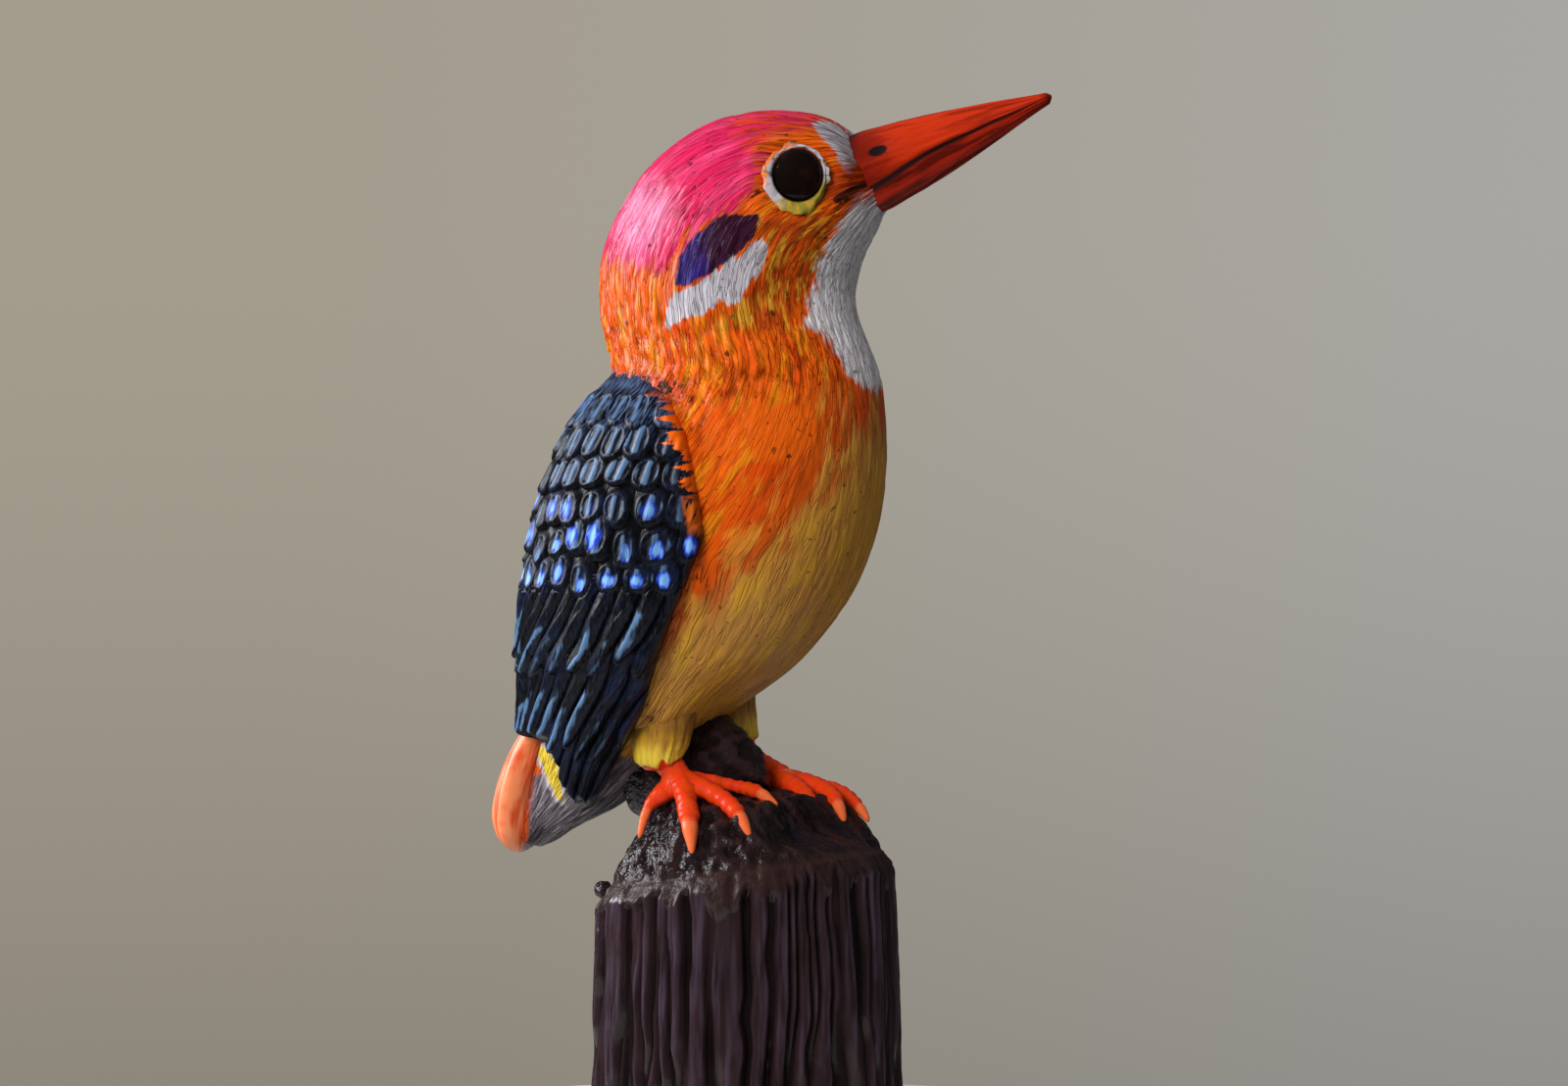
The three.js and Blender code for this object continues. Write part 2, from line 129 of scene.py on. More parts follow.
def spline(points: Sequence[Sequence[float]], share: Array) -> Array:
    """Points on a smooth curve.

    Args:
        points: the points that the curve goes through, at even shares.
        share: how far along the curve each point lies, from 0 to 1.

    Returns:
        The curve's points.
    """
    knots = np.array(points, float)
    knots = np.vstack([2 * knots[0] - knots[1], knots, 2 * knots[-1] - knots[-2]])
    last = len(knots) - 4
    place = np.clip(share, 0, 1) * (last + 1)
    start = np.clip(np.floor(place).astype(int), 0, last)
    part = (place - start)[..., None]
    before, here, there, beyond = (knots[start + step] for step in range(4))
    steps = [np.maximum(np.linalg.norm(b - a, axis=-1, keepdims=True), 1e-6) ** 0.5
             for a, b in ((before, here), (here, there), (there, beyond))]
    leave = (here - before) / steps[0] - (there - before) / (steps[0] + steps[1]) + (there - here) / steps[1]
    arrive = (there - here) / steps[1] - (beyond - here) / (steps[1] + steps[2]) + (beyond - there) / steps[2]
    leave, arrive = leave * steps[1], arrive * steps[1]
    rise = -3 * here + 3 * there - 2 * leave - arrive
    fall = 2 * here - 2 * there + leave + arrive
    return here + part * (leave + part * (rise + part * fall))


def outward(points: Array) -> Array:
    """Unit normals of a grid of points.

    Args:
        points: the grid, whose first and last columns meet.

    Returns:
        A normal for each point.
    """
    ring = points[:, :-1]
    around = np.roll(ring, -1, axis=1) - np.roll(ring, 1, axis=1)
    along = np.gradient(ring, axis=0)
    normal = np.cross(around, along)
    normal /= np.maximum(np.linalg.norm(normal, axis=-1, keepdims=True), 1e-9)
    return np.concatenate([normal, normal[:, :1]], axis=1)


@dataclass(frozen=True)
class Viewpoint:
    """Where the portrait is taken from, in millimetres and degrees, and the size of its image."""

    azimuth: float = 20.0
    elevation: float = 2.0
    distance: float = 500.0
    slide: float = 5.6
    height: float = 93.87
    lens: float = 84.375
    sensor: float = 36.0
    image_width: int = 1600
    image_height: int = 1108

    def axes(self) -> tuple[Array, Array, Array]:
        """Works out the camera's directions.

        Returns:
            The directions to the right, up and forward.
        """
        turn, tilt = math.radians(self.azimuth), math.radians(self.elevation)
        right = np.array([math.cos(turn), math.sin(turn), 0.0])
        level = math.cos(tilt)
        forward = np.array([-math.sin(turn) * level, math.cos(turn) * level, -math.sin(tilt)])
        return right, np.cross(right, forward), forward

    def place(self) -> Array:
        """The camera's own place."""
        right, _, forward = self.axes()
        return right * self.slide + np.array([0, 0, self.height]) - forward * self.distance

    def seen(self, points: Array) -> Array:
        """Where points show in the image.

        Args:
            points: places in the part's frame. Those on the bird's far side are folded onto the near side.

        Returns:
            Each point's x and y in the image, with y downwards.
        """
        offset = folded(points) * np.array([1, -1, 1]) - self.place()
        right, up, forward = self.axes()
        scale = self.image_width * self.lens / self.sensor / (offset @ forward)
        x = self.image_width / 2 + scale * (offset @ right)
        return np.stack([x, self.image_height / 2 - scale * (offset @ up)], axis=-1)


VIEW = Viewpoint()


def inside(points: Array, outline: Outline) -> Array:
    """How far inside a painted outline each place lies.

    Args:
        points: places in the image.
        outline: the outline's corners in the image.

    Returns:
        The distance to the outline in millimetres at the bird, negative outside it.
    """
    corners = np.array(outline, float)
    nearest = np.full(points.shape[:-1], np.inf)
    within = np.zeros(points.shape[:-1], bool)
    x, y = points[..., 0], points[..., 1]
    for start, end in zip(corners, np.roll(corners, -1, axis=0)):
        edge = end - start
        share = np.clip(((points - start) @ edge) / (edge @ edge), 0, 1)
        gap = np.linalg.norm(points - start - share[..., None] * edge, axis=-1)
        nearest = np.minimum(nearest, gap)
        crossing = (start[1] > y) != (end[1] > y)
        within ^= crossing & (x < start[0] + (y - start[1]) * edge[0] / (edge[1] or 1e-9))
    return np.where(within, nearest, -nearest) / IMAGE_SCALE


# Casting pieces


@dataclass
class Cast:
    """A grid of points in millimetres, with the paint values of each point."""

    points: Array
    paint: dict[str, Array]


Shape = Callable[[Array, Array], Cast]


class Side(IntEnum):
    """The bird's sides, by the sign of their Y."""

    RIGHT = -1
    LEFT = 1


class Part(Enum):
    """The CAD nodes that the pieces stand for, each with a slot name."""

    BIRD = ("kingfisher", "bird_paint")
    RIGHT_EYE = ("eye_right", "eye_bead")
    LEFT_EYE = ("eye_left", "eye_bead")
    STUMP = ("stump", "stump_paint")


def add_object(name: str, data: bpy.types.ID) -> bpy.types.Object:
    """Links a mesh, lamp or camera into the scene as an object at the origin.

    Args:
        name: the object's name.
        data: what the object shows.

    Returns:
        The new object.
    """
    made = bpy.data.objects.new(name, data)
    bpy.context.scene.collection.objects.link(made)
    return made


def new_piece(name: str, mesh: bpy.types.Mesh) -> bpy.types.Object:
    """Links a mesh into the scene as a smooth-shaded object at the origin."""
    mesh.polygons.foreach_set("use_smooth", [True] * len(mesh.polygons))
    return add_object(name, mesh)


def settle(bm: bmesh.types.BMesh, name: str) -> bpy.types.Mesh:
    """Turns a bmesh into a mesh.

    Args:
        bm: the bmesh, which is freed.
        name: the mesh's name.

    Returns:
        The new mesh.
    """
    mesh = bpy.data.meshes.new(name)
    bm.to_mesh(mesh)
    bm.free()
    return mesh


def weld(mesh: bpy.types.Mesh) -> None:
    """Joins a mesh's doubled points, in place, and turns its faces outwards.

    Args:
        mesh: the mesh of a closed piece.
    """
    bm = bmesh.new()
    bm.from_mesh(mesh)
    bmesh.ops.remove_doubles(bm, verts=bm.verts, dist=WELD_GAP)
    bmesh.ops.dissolve_degenerate(bm, dist=SHORTEST_EDGE, edges=bm.edges)
    bmesh.ops.recalc_face_normals(bm, faces=bm.faces)
    bm.to_mesh(mesh)
    bm.free()


def read_points(mesh: bpy.types.Mesh, field: str) -> Array:
    """Reads a vector of each of a mesh's points.

    Args:
        mesh: the mesh.
        field: "co" for the points' places or "normal" for their normals.

    Returns:
        One row for each point.
    """
    flat = np.empty(len(mesh.vertices) * 3, np.float32)
    mesh.vertices.foreach_get(field, flat)
    return flat.reshape(-1, 3)


def write_points(mesh: bpy.types.Mesh, made: Cast) -> None:
    """Moves a mesh's points and lays their paint values on them.

    Args:
        mesh: the mesh.
        made: one place in millimetres and one of each paint value for each point.
    """
    mesh.vertices.foreach_set("co", (made.points * MM).astype(np.float32).ravel())
    for label, values in made.paint.items():
        layer = mesh.attributes.new(label, "FLOAT", "POINT")
        layer.data.foreach_set("value", values.astype(np.float32))


def cast(name: str, across: int, along: int, shape: Shape, is_ring: bool = False) -> bpy.types.Object:
    """Makes a closed piece from a grid whose sides meet.

    Args:
        name: the piece's name.
        across: the number of faces round it.
        along: the number of faces from end to end.
        shape: gives the grid's points and paint from the two shares of each point.
        is_ring: whether the ends meet too. Otherwise each end is gathered in one point.

    Returns:
        The new object.
    """
    bm = bmesh.new()
    bmesh.ops.create_grid(bm, x_segments=across, y_segments=along, size=0.5)
    mesh = settle(bm, name)
    flat = read_points(mesh, "co")
    column = np.rint((flat[:, 0] + 0.5) * across).astype(int)
    row = np.rint((flat[:, 1] + 0.5) * along).astype(int)
    made = shape(*np.meshgrid(np.linspace(0, 1, across + 1), np.linspace(0, 1, along + 1)))
    points = made.points
    if is_ring:
        column, row = column % across, row % along
    else:
        points[:, -1] = points[:, 0]
        points[0], points[-1] = points[0].mean(axis=0), points[-1].mean(axis=0)
    paint = {label: values[row, column] for label, values in made.paint.items()}
    write_points(mesh, Cast(points[row, column], paint))
    weld(mesh)
    return new_piece(name, mesh)


def melt(name: str, pieces: Sequence[bpy.types.Object], voxel: float, passes: int) -> bpy.types.Object:
    """Melts overlapping pieces into one skin.

    Args:
        name: the new piece's name.
        pieces: closed pieces, which are removed.
        voxel: the size of the new skin's faces, in millimetres.
        passes: how often the skin is smoothed.

    Returns:
        The new object.
    """
    bm = bmesh.new()
    for piece in pieces:
        bm.from_mesh(piece.data)
        bpy.data.objects.remove(piece)
    raw = add_object(name + ".raw", settle(bm, name + ".raw"))
    remesh = raw.modifiers.new("melt", "REMESH")
    remesh.mode = "VOXEL"
    remesh.voxel_size = voxel * MM
    smooth = raw.modifiers.new("smooth", "SMOOTH")
    smooth.factor = 0.5
    smooth.iterations = passes
    graph = bpy.context.evaluated_depsgraph_get()
    made = bpy.data.meshes.new_from_object(raw.evaluated_get(graph))
    made.name = name
    bpy.data.objects.remove(raw)
    return new_piece(name, made)


def rework(piece: bpy.types.Object, shape: Shape) -> None:
    """Moves and paints a finished piece's points.

    Args:
        piece: the piece.
        shape: gives its points and paint from their places in millimetres and their normals.
    """
    mesh = piece.data
    write_points(mesh, shape(read_points(mesh, "co") / MM, read_points(mesh, "normal").astype(float)))
    mesh.update()


def mount(piece: bpy.types.Object, part: Part, finish: bpy.types.Material) -> None:
    """Puts a piece in place of a CAD node, with its finish.

    Args:
        piece: the piece.
        part: the node that it stands for; the slot that comes with it is not used.
        finish: its material.
    """
    node, slot = part.value
    piece.data.materials.clear()
    piece.data.materials.append(finish)
    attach(piece, "root")
    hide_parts(node)
    LOG.info("%s: %d faces, stands for %s", piece.name, len(piece.data.polygons), node)


# Shader maths


Colour = tuple[float, float, float]
Light = tuple[float, float, float, float]
Operand = Union["Value", float]
Tint = Union["Value", "Pigment", Light]


@dataclass(frozen=True)
class Value:
    """A number or colour that varies over a surface, which takes part in plain arithmetic."""

    graph: "Graph"
    socket: bpy.types.NodeSocket

    def __add__(self, other: Operand) -> "Value":
        """The sum."""
        return self.graph.math("ADD", self, other)

    __radd__ = __add__

    def __sub__(self, other: Operand) -> "Value":
        """The difference."""
        return self.graph.math("SUBTRACT", self, other)

    def __rsub__(self, other: Operand) -> "Value":
        """The difference the other way round."""
        return self.graph.math("SUBTRACT", other, self)

    def __mul__(self, other: Operand) -> "Value":
        """The product."""
        return self.graph.math("MULTIPLY", self, other)

    __rmul__ = __mul__

    def __abs__(self) -> "Value":
        """The number without its sign."""
        return self.graph.math("ABSOLUTE", self)

    def step(self, low: float, high: float) -> "Value":
        """A smooth step from 0 at low to 1 at high."""
        return self.graph.node("ShaderNodeMapRange", {"interpolation_type": "SMOOTHSTEP"},
                               {"Value": self, "From Min": low, "From Max": high})

    def coat(self, over: Tint, amount: Operand) -> "Value":
        """This colour with another laid over it."""
        return self.graph.blend(self, over, amount)

    def dim(self, amount: Operand) -> "Value":
        """This colour made darker or lighter by a factor."""
        return self.graph.node("ShaderNodeVectorMath", {"operation": "SCALE"}, {0: self, 3: amount})


class Graph:
    """The node tree of a material or world, built from Python expressions."""

    def __init__(self, block: Union[bpy.types.Material, bpy.types.World]) -> None:
        """Takes over the node tree of a new material or world.

        Args:
            block: the material or world.
        """
        block.use_nodes = True
        self.block = block
        self.tree = block.node_tree
        self.tree.nodes.clear()

    def node(self, kind: str, settings: Mapping[str, object], sockets: Mapping[Union[str, int], object],
             output: Union[str, int] = 0) -> Value:
        """Adds a node.

        Args:
            kind: the node's type.
            settings: its own properties, which are set first.
            sockets: values, pigments or links, by the input's name or number.
            output: which output is returned.

        Returns:
            The chosen output.
        """
        made = self.tree.nodes.new(kind)
        for key, setting in settings.items():
            setattr(made, key, setting)
        for key, value in sockets.items():
            if isinstance(value, Value):
                self.tree.links.new(value.socket, made.inputs[key])
            else:
                made.inputs[key].default_value = value.linear if isinstance(value, Pigment) else value
        return Value(self, made.outputs[output])

    def math(self, operation: str, first: Operand, second: Operand = 0.0) -> Value:
        """A Math node on one number or two."""
        return self.node("ShaderNodeMath", {"operation": operation}, {0: first, 1: second})

    def read(self, label: str) -> Value:
        """A paint value that was cast with the piece."""
        return self.node("ShaderNodeAttribute", {"attribute_name": label}, {}, "Fac")

    def place(self) -> Value:
        """The surface's place in the part's frame, in metres."""
        return self.node("ShaderNodeTexCoord", {}, {}, "Object")

    def along(self, axis: str) -> Value:
        """The surface's place along one axis of the part's frame, in millimetres."""
        return self.node("ShaderNodeSeparateXYZ", {}, {0: self.place()}, axis) * (1 / MM)

    def flow(self, across: float, along: float, drift: float = 0.0) -> Value:
        """A place in the plane that follows the feathers, in cells of the given sizes in millimetres."""
        return self.node("ShaderNodeCombineXYZ", {}, {0: self.read("across") * (1 / across) + drift,
                                                      1: self.read("along") * (1 / along), 2: drift})

    def grain(self, vector: Value, scale: float, detail: float = 2.0) -> Value:
        """Noise from 0 to 1."""
        return self.node("ShaderNodeTexNoise", {"noise_dimensions": "3D"},
                         {"Vector": vector, "Scale": scale, "Detail": detail, "Roughness": 0.5})

    def hairs(self) -> Value:
        """Hair-thin lines that follow the feathers, 0 in a line and 1 between them."""
        return abs(self.grain(self.flow(0.42, 5.5, 2.3), 1.0, 1.0) - 0.5).step(0.0, 0.06)

    def blend(self, under: Tint, over: Tint, amount: Operand) -> Value:
        """One colour over another."""
        return self.node("ShaderNodeMix", {"data_type": "RGBA"}, {0: amount, 6: under, 7: over}, 2)

    def end(self, kind: str, shader: Value) -> None:
        """Links a shader to the surface socket of a new output node."""
        made = self.tree.nodes.new(kind)
        self.tree.links.new(shader.socket, made.inputs["Surface"])

    def finish(self, colour: Tint, roughness: Operand, relief: Value, depth: float, **constants: float
               ) -> bpy.types.Material:
        """Ends the tree in a painted surface.

        Args:
            colour: the base colour.
            roughness: from 0, polished, to 1, matt.
            relief: the height that the bump follows, from 0 to 1.
            depth: the bump's depth in millimetres.
            constants: other inputs of the shader that are the same all over, by name with _ for a space.

        Returns:
            The material.
        """
        bump = self.node("ShaderNodeBump", {}, {"Strength": 1.0, "Distance": depth * MM, "Height": relief})
        sockets = {"Base Color": colour, "Roughness": roughness, "Normal": bump}
        sockets.update({key.replace("_", " "): value for key, value in constants.items()})
        self.end("ShaderNodeOutputMaterial", self.node("ShaderNodeBsdfPrincipled", {}, sockets))
        return self.block


@dataclass(frozen=True)
class Paint:
    """What the finishes share: how smooth, mottled and glossy they are, and how deep their brush marks."""

    name: str
    smooth: float
    mottle: float
    depth: float
    gloss: float

    def graph(self) -> Graph:
        """The empty graph of a new material."""
        return Graph(bpy.data.materials.new(self.name))

    def seal(self, g: Graph, colour: Value, mottling: Value, relief: Value, **constants: float
             ) -> bpy.types.Material:
        """Ends a graph in this paint.

        Args:
            g: the graph.
            colour: the paint's colour.
            mottling: what makes it less smooth, from 0 to 1.
            relief: the height of the brush marks, from 0 to 1.
            constants: other inputs of the shader that are the same all over, by name with _ for a space.

        Returns:
            The material.
        """
        rough = self.smooth + self.mottle * mottling
        return g.finish(colour, rough, relief, self.depth, Specular_IOR_Level=self.gloss, **constants)


class Pigment(Enum):
    """The colours of the bird, its stump and the table."""

    ORANGE = (234, 98, 10)
    RED_ORANGE = (224, 66, 6)
    RUST = (176, 66, 10)
    AMBER = (236, 142, 20)
    YELLOW = (216, 162, 44)
    OCHRE = (192, 134, 60)
    LEMON = (236, 204, 66)
    PINK = (214, 30, 86)
    PINK_LIGHT = (246, 96, 150)
    # The pale pink of the crown's painted highlight.
    BLUSH = (250, 160, 206)
    VIOLET = (50, 38, 132)
    PLUM = (58, 22, 44)
    WHITE = (196, 191, 200)
    PALE = (232, 228, 233)
    GREY = (150, 142, 152)
    OLIVE = (150, 138, 52)
    SALMON = (214, 84, 56)
    BLACK = (12, 11, 14)
    NAVY = (22, 34, 68)
    SLATE = (98, 136, 178)
    SKY = (120, 176, 240)
    COBALT = (30, 60, 196)
    SOOT = (34, 20, 20)
    MAROON = (84, 14, 10)
    TOE = (232, 58, 26)
    CLAW = (236, 108, 58)
    TAIL = (255, 148, 96)
    TAIL_DEEP = (232, 84, 34)
    BARK = (44, 29, 32)
    BARK_DARK = (16, 9, 10)
    # The violet-grey of the painted sheen on the bark's ribs.
    BARK_BLOOM = (82, 68, 86)
    BARK_BARE = (50, 30, 27)
    FLUSH = (176, 54, 10)
    BRICK = (186, 44, 6)
    BRICK_DEEP = (144, 28, 5)
    LIVER = (168, 34, 10)
    LIVER_DEEP = (96, 18, 6)
    BEAD = (16, 9, 8)
    BEAD_DEPTH = (44, 18, 12)
    DUSTY_BLUE = (84, 112, 158)
    GINGER = (196, 92, 16)
    TAIL_WORN = (244, 150, 110)
    TABLE = (206, 205, 200)
    TABLE_SHADE = (196, 195, 190)

    @property
    def linear(self) -> Light:
        """The pigment as linear light.

        Returns:
            Red, green and blue, worked out from the 0 to 255 that a colour picker shows, and 1.
        """
        shares = [c / 255 for c in self.value]
        red, green, blue = (c / 12.92 if c < 11 / 255 else ((c + 0.055) / 1.055) ** 2.4 for c in shares)
        return (red, green, blue, 1.0)


# The bird's body


class BodyPatch(Enum):
    """Outlines of the painted patches, as they show in the portrait."""

    crown = ((590, 262), (640, 270), (676, 276), (694, 258), (709, 238), (730, 221), (752, 209), (768, 194),
             (774, 170), (772, 150), (790, 134), (815, 129), (836, 127), (848, 118), (845, 86), (700, 70),
             (590, 110))
    ear = ((731, 222), (752, 219), (773, 219), (771, 242), (750, 261), (730, 277), (702, 292), (690, 290),
           (694, 262), (709, 240))
    cheek = ((778, 242), (784, 256), (776, 276), (760, 300), (748, 312), (735, 307), (720, 319), (700, 323),
             (684, 335), (675, 330), (684, 303), (705, 292), (730, 277), (752, 262), (771, 244))
    throat = ((876, 200), (850, 240), (836, 270), (828, 300), (821, 331), (840, 340), (855, 362), (868, 385),
              (884, 396), (940, 410), (960, 180), (905, 190))
    lores = ((829, 127), (838, 123), (852, 126), (866, 136), (875, 150), (876, 165), (866, 179), (858, 172),
             (853, 158), (846, 148), (836, 142))
    chin = ((770, 226), (836, 214), (842, 250), (820, 300), (800, 335), (735, 335), (752, 312), (780, 276),
            (786, 256))
    nape = ((640, 380), (664, 380), (690, 388), (706, 406), (668, 410), (632, 406), (628, 390))
    brow = ((742, 100), (838, 100), (842, 124), (812, 132), (788, 137), (770, 158), (756, 150), (744, 132))
    # Where the crown's painted highlight lies: a pale pink patch at the back of the crown.
    blush = ((640, 190), (668, 182), (690, 200), (688, 232), (668, 252), (640, 254), (626, 232))
    mantle = ((560, 374), (624, 378), (638, 392), (650, 402), (700, 420), (720, 560), (640, 780), (556, 776),
              (520, 600))
    bright = ((758, 418), (792, 414), (832, 420), (834, 448), (812, 472), (776, 470), (757, 448))
    belly = ((600, 740), (655, 660), (690, 620), (735, 580), (790, 530), (828, 470), (850, 410), (980, 390),
             (960, 600), (860, 720), (780, 770), (640, 800))
    calm = ((722, 424), (770, 400), (846, 396), (990, 400), (970, 640), (860, 780), (690, 780), (676, 680),
            (740, 590), (724, 520))
    stripe = ((543, 760), (556, 758), (572, 780), (577, 812), (578, 826), (566, 816), (554, 792))
    gape = ((886, 181), (868, 189), (854, 197), (847, 203), (851, 208), (862, 202), (888, 191))
    flush = ((858, 170), (876, 164), (905, 178), (892, 206), (868, 209), (848, 207), (842, 194))
    vent = ((546, 789), (560, 792), (572, 806), (580, 800), (600, 780), (640, 770), (662, 785), (690, 815),
            (680, 900), (530, 900), (538, 866), (540, 820))


@dataclass(frozen=True)
class PlumagePaint(Paint):
    """The bird's brushed plumage, broken along its barbs."""

    name: str = "painted_plumage"
    smooth: float = 0.22
    mottle: float = 0.16
    depth: float = 0.5
    gloss: float = 0.21

    def material(self) -> bpy.types.Material:
        """Mixes the plumage's paint.

        Returns:
            The material.
        """
        g = self.graph()
        broad = g.grain(g.flow(3.2, 16.0), 1.0, 2.0)
        streak = g.grain(g.flow(1.1, 6.0, 3.7), 1.0, 2.0)
        fine = g.grain(g.flow(0.5, 3.2, 9.1), 1.0, 3.0)
        speck = g.grain(g.place(), 900.0, 1.0)
        relief = g.read("relief")
        height = g.along("Z")
        ragged = (streak - 0.5) * 2.2 + (fine - 0.5) * 2.2

        def patch(label: str, soft: float = 0.25, raggedness: float = 1.0) -> Value:
            """How fully a patch covers, with a border broken along the barbs."""
            return (g.read(label) + ragged * raggedness).step(-soft, soft)

        colour = g.blend(Pigment.ORANGE, Pigment.RED_ORANGE, broad.step(0.42, 0.62) * 0.65)
        colour = colour.coat(Pigment.AMBER, streak.step(0.5, 0.62) * 0.7)
        colour = colour.coat(Pigment.RUST, (1 - fine.step(0.36, 0.48)) * 0.6)
        chin = g.blend(Pigment.RUST, Pigment.YELLOW, streak.step(0.46, 0.62) * 0.8)
        colour = colour.coat(chin, patch("chin", 0.8) * 0.85)
        belly = g.blend(Pigment.OCHRE, Pigment.YELLOW, streak.step(0.4, 0.7) * 0.7)
        russet = g.blend(Pigment.RUST, Pigment.OCHRE, streak.step(0.44, 0.58))
        colour = colour.coat(russet, patch("belly", 6.0, 2.0) * 0.75)
        lower = g.read("belly") + ragged * 1.8 - (height - 62.0) * 0.09
        colour = colour.coat(belly, lower.step(-3.0, 4.0))
        colour = colour.coat(Pigment.ORANGE, patch("bright", 0.8, 0.2))
        crown = g.blend(Pigment.PINK, Pigment.PINK_LIGHT, broad.step(0.45, 0.7) * 0.5)
        crown = crown.coat(Pigment.ORANGE, streak.step(0.6, 0.7) * 0.4 * height.step(146, 152))
        # Painted highlight: pale pink laid over the back of the crown.
        crown = crown.coat(Pigment.BLUSH, (g.read("blush") + (streak - 0.5) * 2).step(-2.0, 3.0) * 0.45)
        colour = colour.coat(crown, patch("crown", 1.2, 3.2))
        brow = g.blend(Pigment.RED_ORANGE, Pigment.PINK, fine.step(0.46, 0.58))
        colour = colour.coat(brow, patch("brow", 1.0, 1.4) * streak.step(0.42, 0.5) * 0.9)
        ear = g.blend(Pigment.VIOLET, Pigment.PLUM, (g.along("X") + (streak - 0.5) * 14).step(-5, 3))
        colour = colour.coat(ear, patch("ear", 0.18, 0.6))
        white = g.blend(Pigment.WHITE, Pigment.GREY, streak.step(0.5, 0.72) * 0.7)
        pale = g.blend(Pigment.PALE, Pigment.WHITE, streak.step(0.5, 0.72))
        colour = colour.coat(white, patch("cheek", 0.2, 0.8))
        colour = colour.coat(pale, patch("throat", 0.6, 1.2))
        specked = white.coat(Pigment.SOOT, (1 - fine.step(0.34, 0.44)) * 0.8)
        colour = colour.coat(specked, patch("lores", 0.25, 0.45))
        colour = colour.coat(Pigment.FLUSH, patch("flush", 1.2, 0.5) * 0.85)
        colour = colour.coat(Pigment.SOOT, (g.read("gape") + (fine - 0.5) * 0.4).step(0.0, 0.25) * 0.85)
        nape = g.blend(Pigment.SALMON, Pigment.SOOT, (fine * 0.5 + speck * 0.5).step(0.5, 0.56))
        colour = colour.coat(nape, patch("nape", 0.8, 1.2) * 0.9)
        mantle = g.blend(Pigment.NAVY, Pigment.COBALT, streak.step(0.58, 0.7) * 0.6)
        colour = colour.coat(mantle, patch("mantle", 0.4, 0.5))
        vent = g.blend(Pigment.GREY, Pigment.SOOT, streak.step(0.35, 0.65) * 0.8)
        colour = colour.coat(vent, patch("vent", 0.5, 0.4))
        stripe = g.blend(Pigment.WHITE, Pigment.LEMON, g.read("stripe").step(0.2, 0.6))
        colour = colour.coat(stripe, patch("stripe", 0.2, 0.1))
        combed = g.hairs()
        calm = (1 - 0.6 * g.read("crown").step(-1.0, 1.0)) * (1 - 0.75 * g.read("calm").step(-3.0, 2.0))
        hush = 1 - 0.6 * g.read("calm").step(-2.0, 2.0)
        calm = calm * (1 - 0.5 * g.read("throat").step(-0.5, 1.0))
        # Darker in the relief's grooves: a dark wash and painted shade in one.
        colour = colour.coat(colour.dim(0.36), (1 - relief.step(0.0, 0.45)) * 0.65 * calm)
        # Painted shade along the hair-thin grooves.
        colour = colour.coat(colour.dim(0.5), (1 - combed) * 0.3 * calm * hush)
        # Lighter on the relief's crests: drybrush and painted highlight in one.
        crest = relief.step(0.62, 0.95) * fine.step(0.5, 0.62)
        colour = colour.coat(colour.dim(1.5), crest * 0.7)
        colour = colour.coat(Pigment.SOOT, speck.step(0.72, 0.75) * 0.6)
        marks = g.read("marks") + (fine - 0.5) * 2.0
        colour = colour.coat(Pigment.SOOT, marks.step(-0.05, 0.15) * 0.85)
        bump = combed * 0.4 * hush + fine * 0.4 + streak * 0.4
        return self.seal(g, colour, fine, bump)


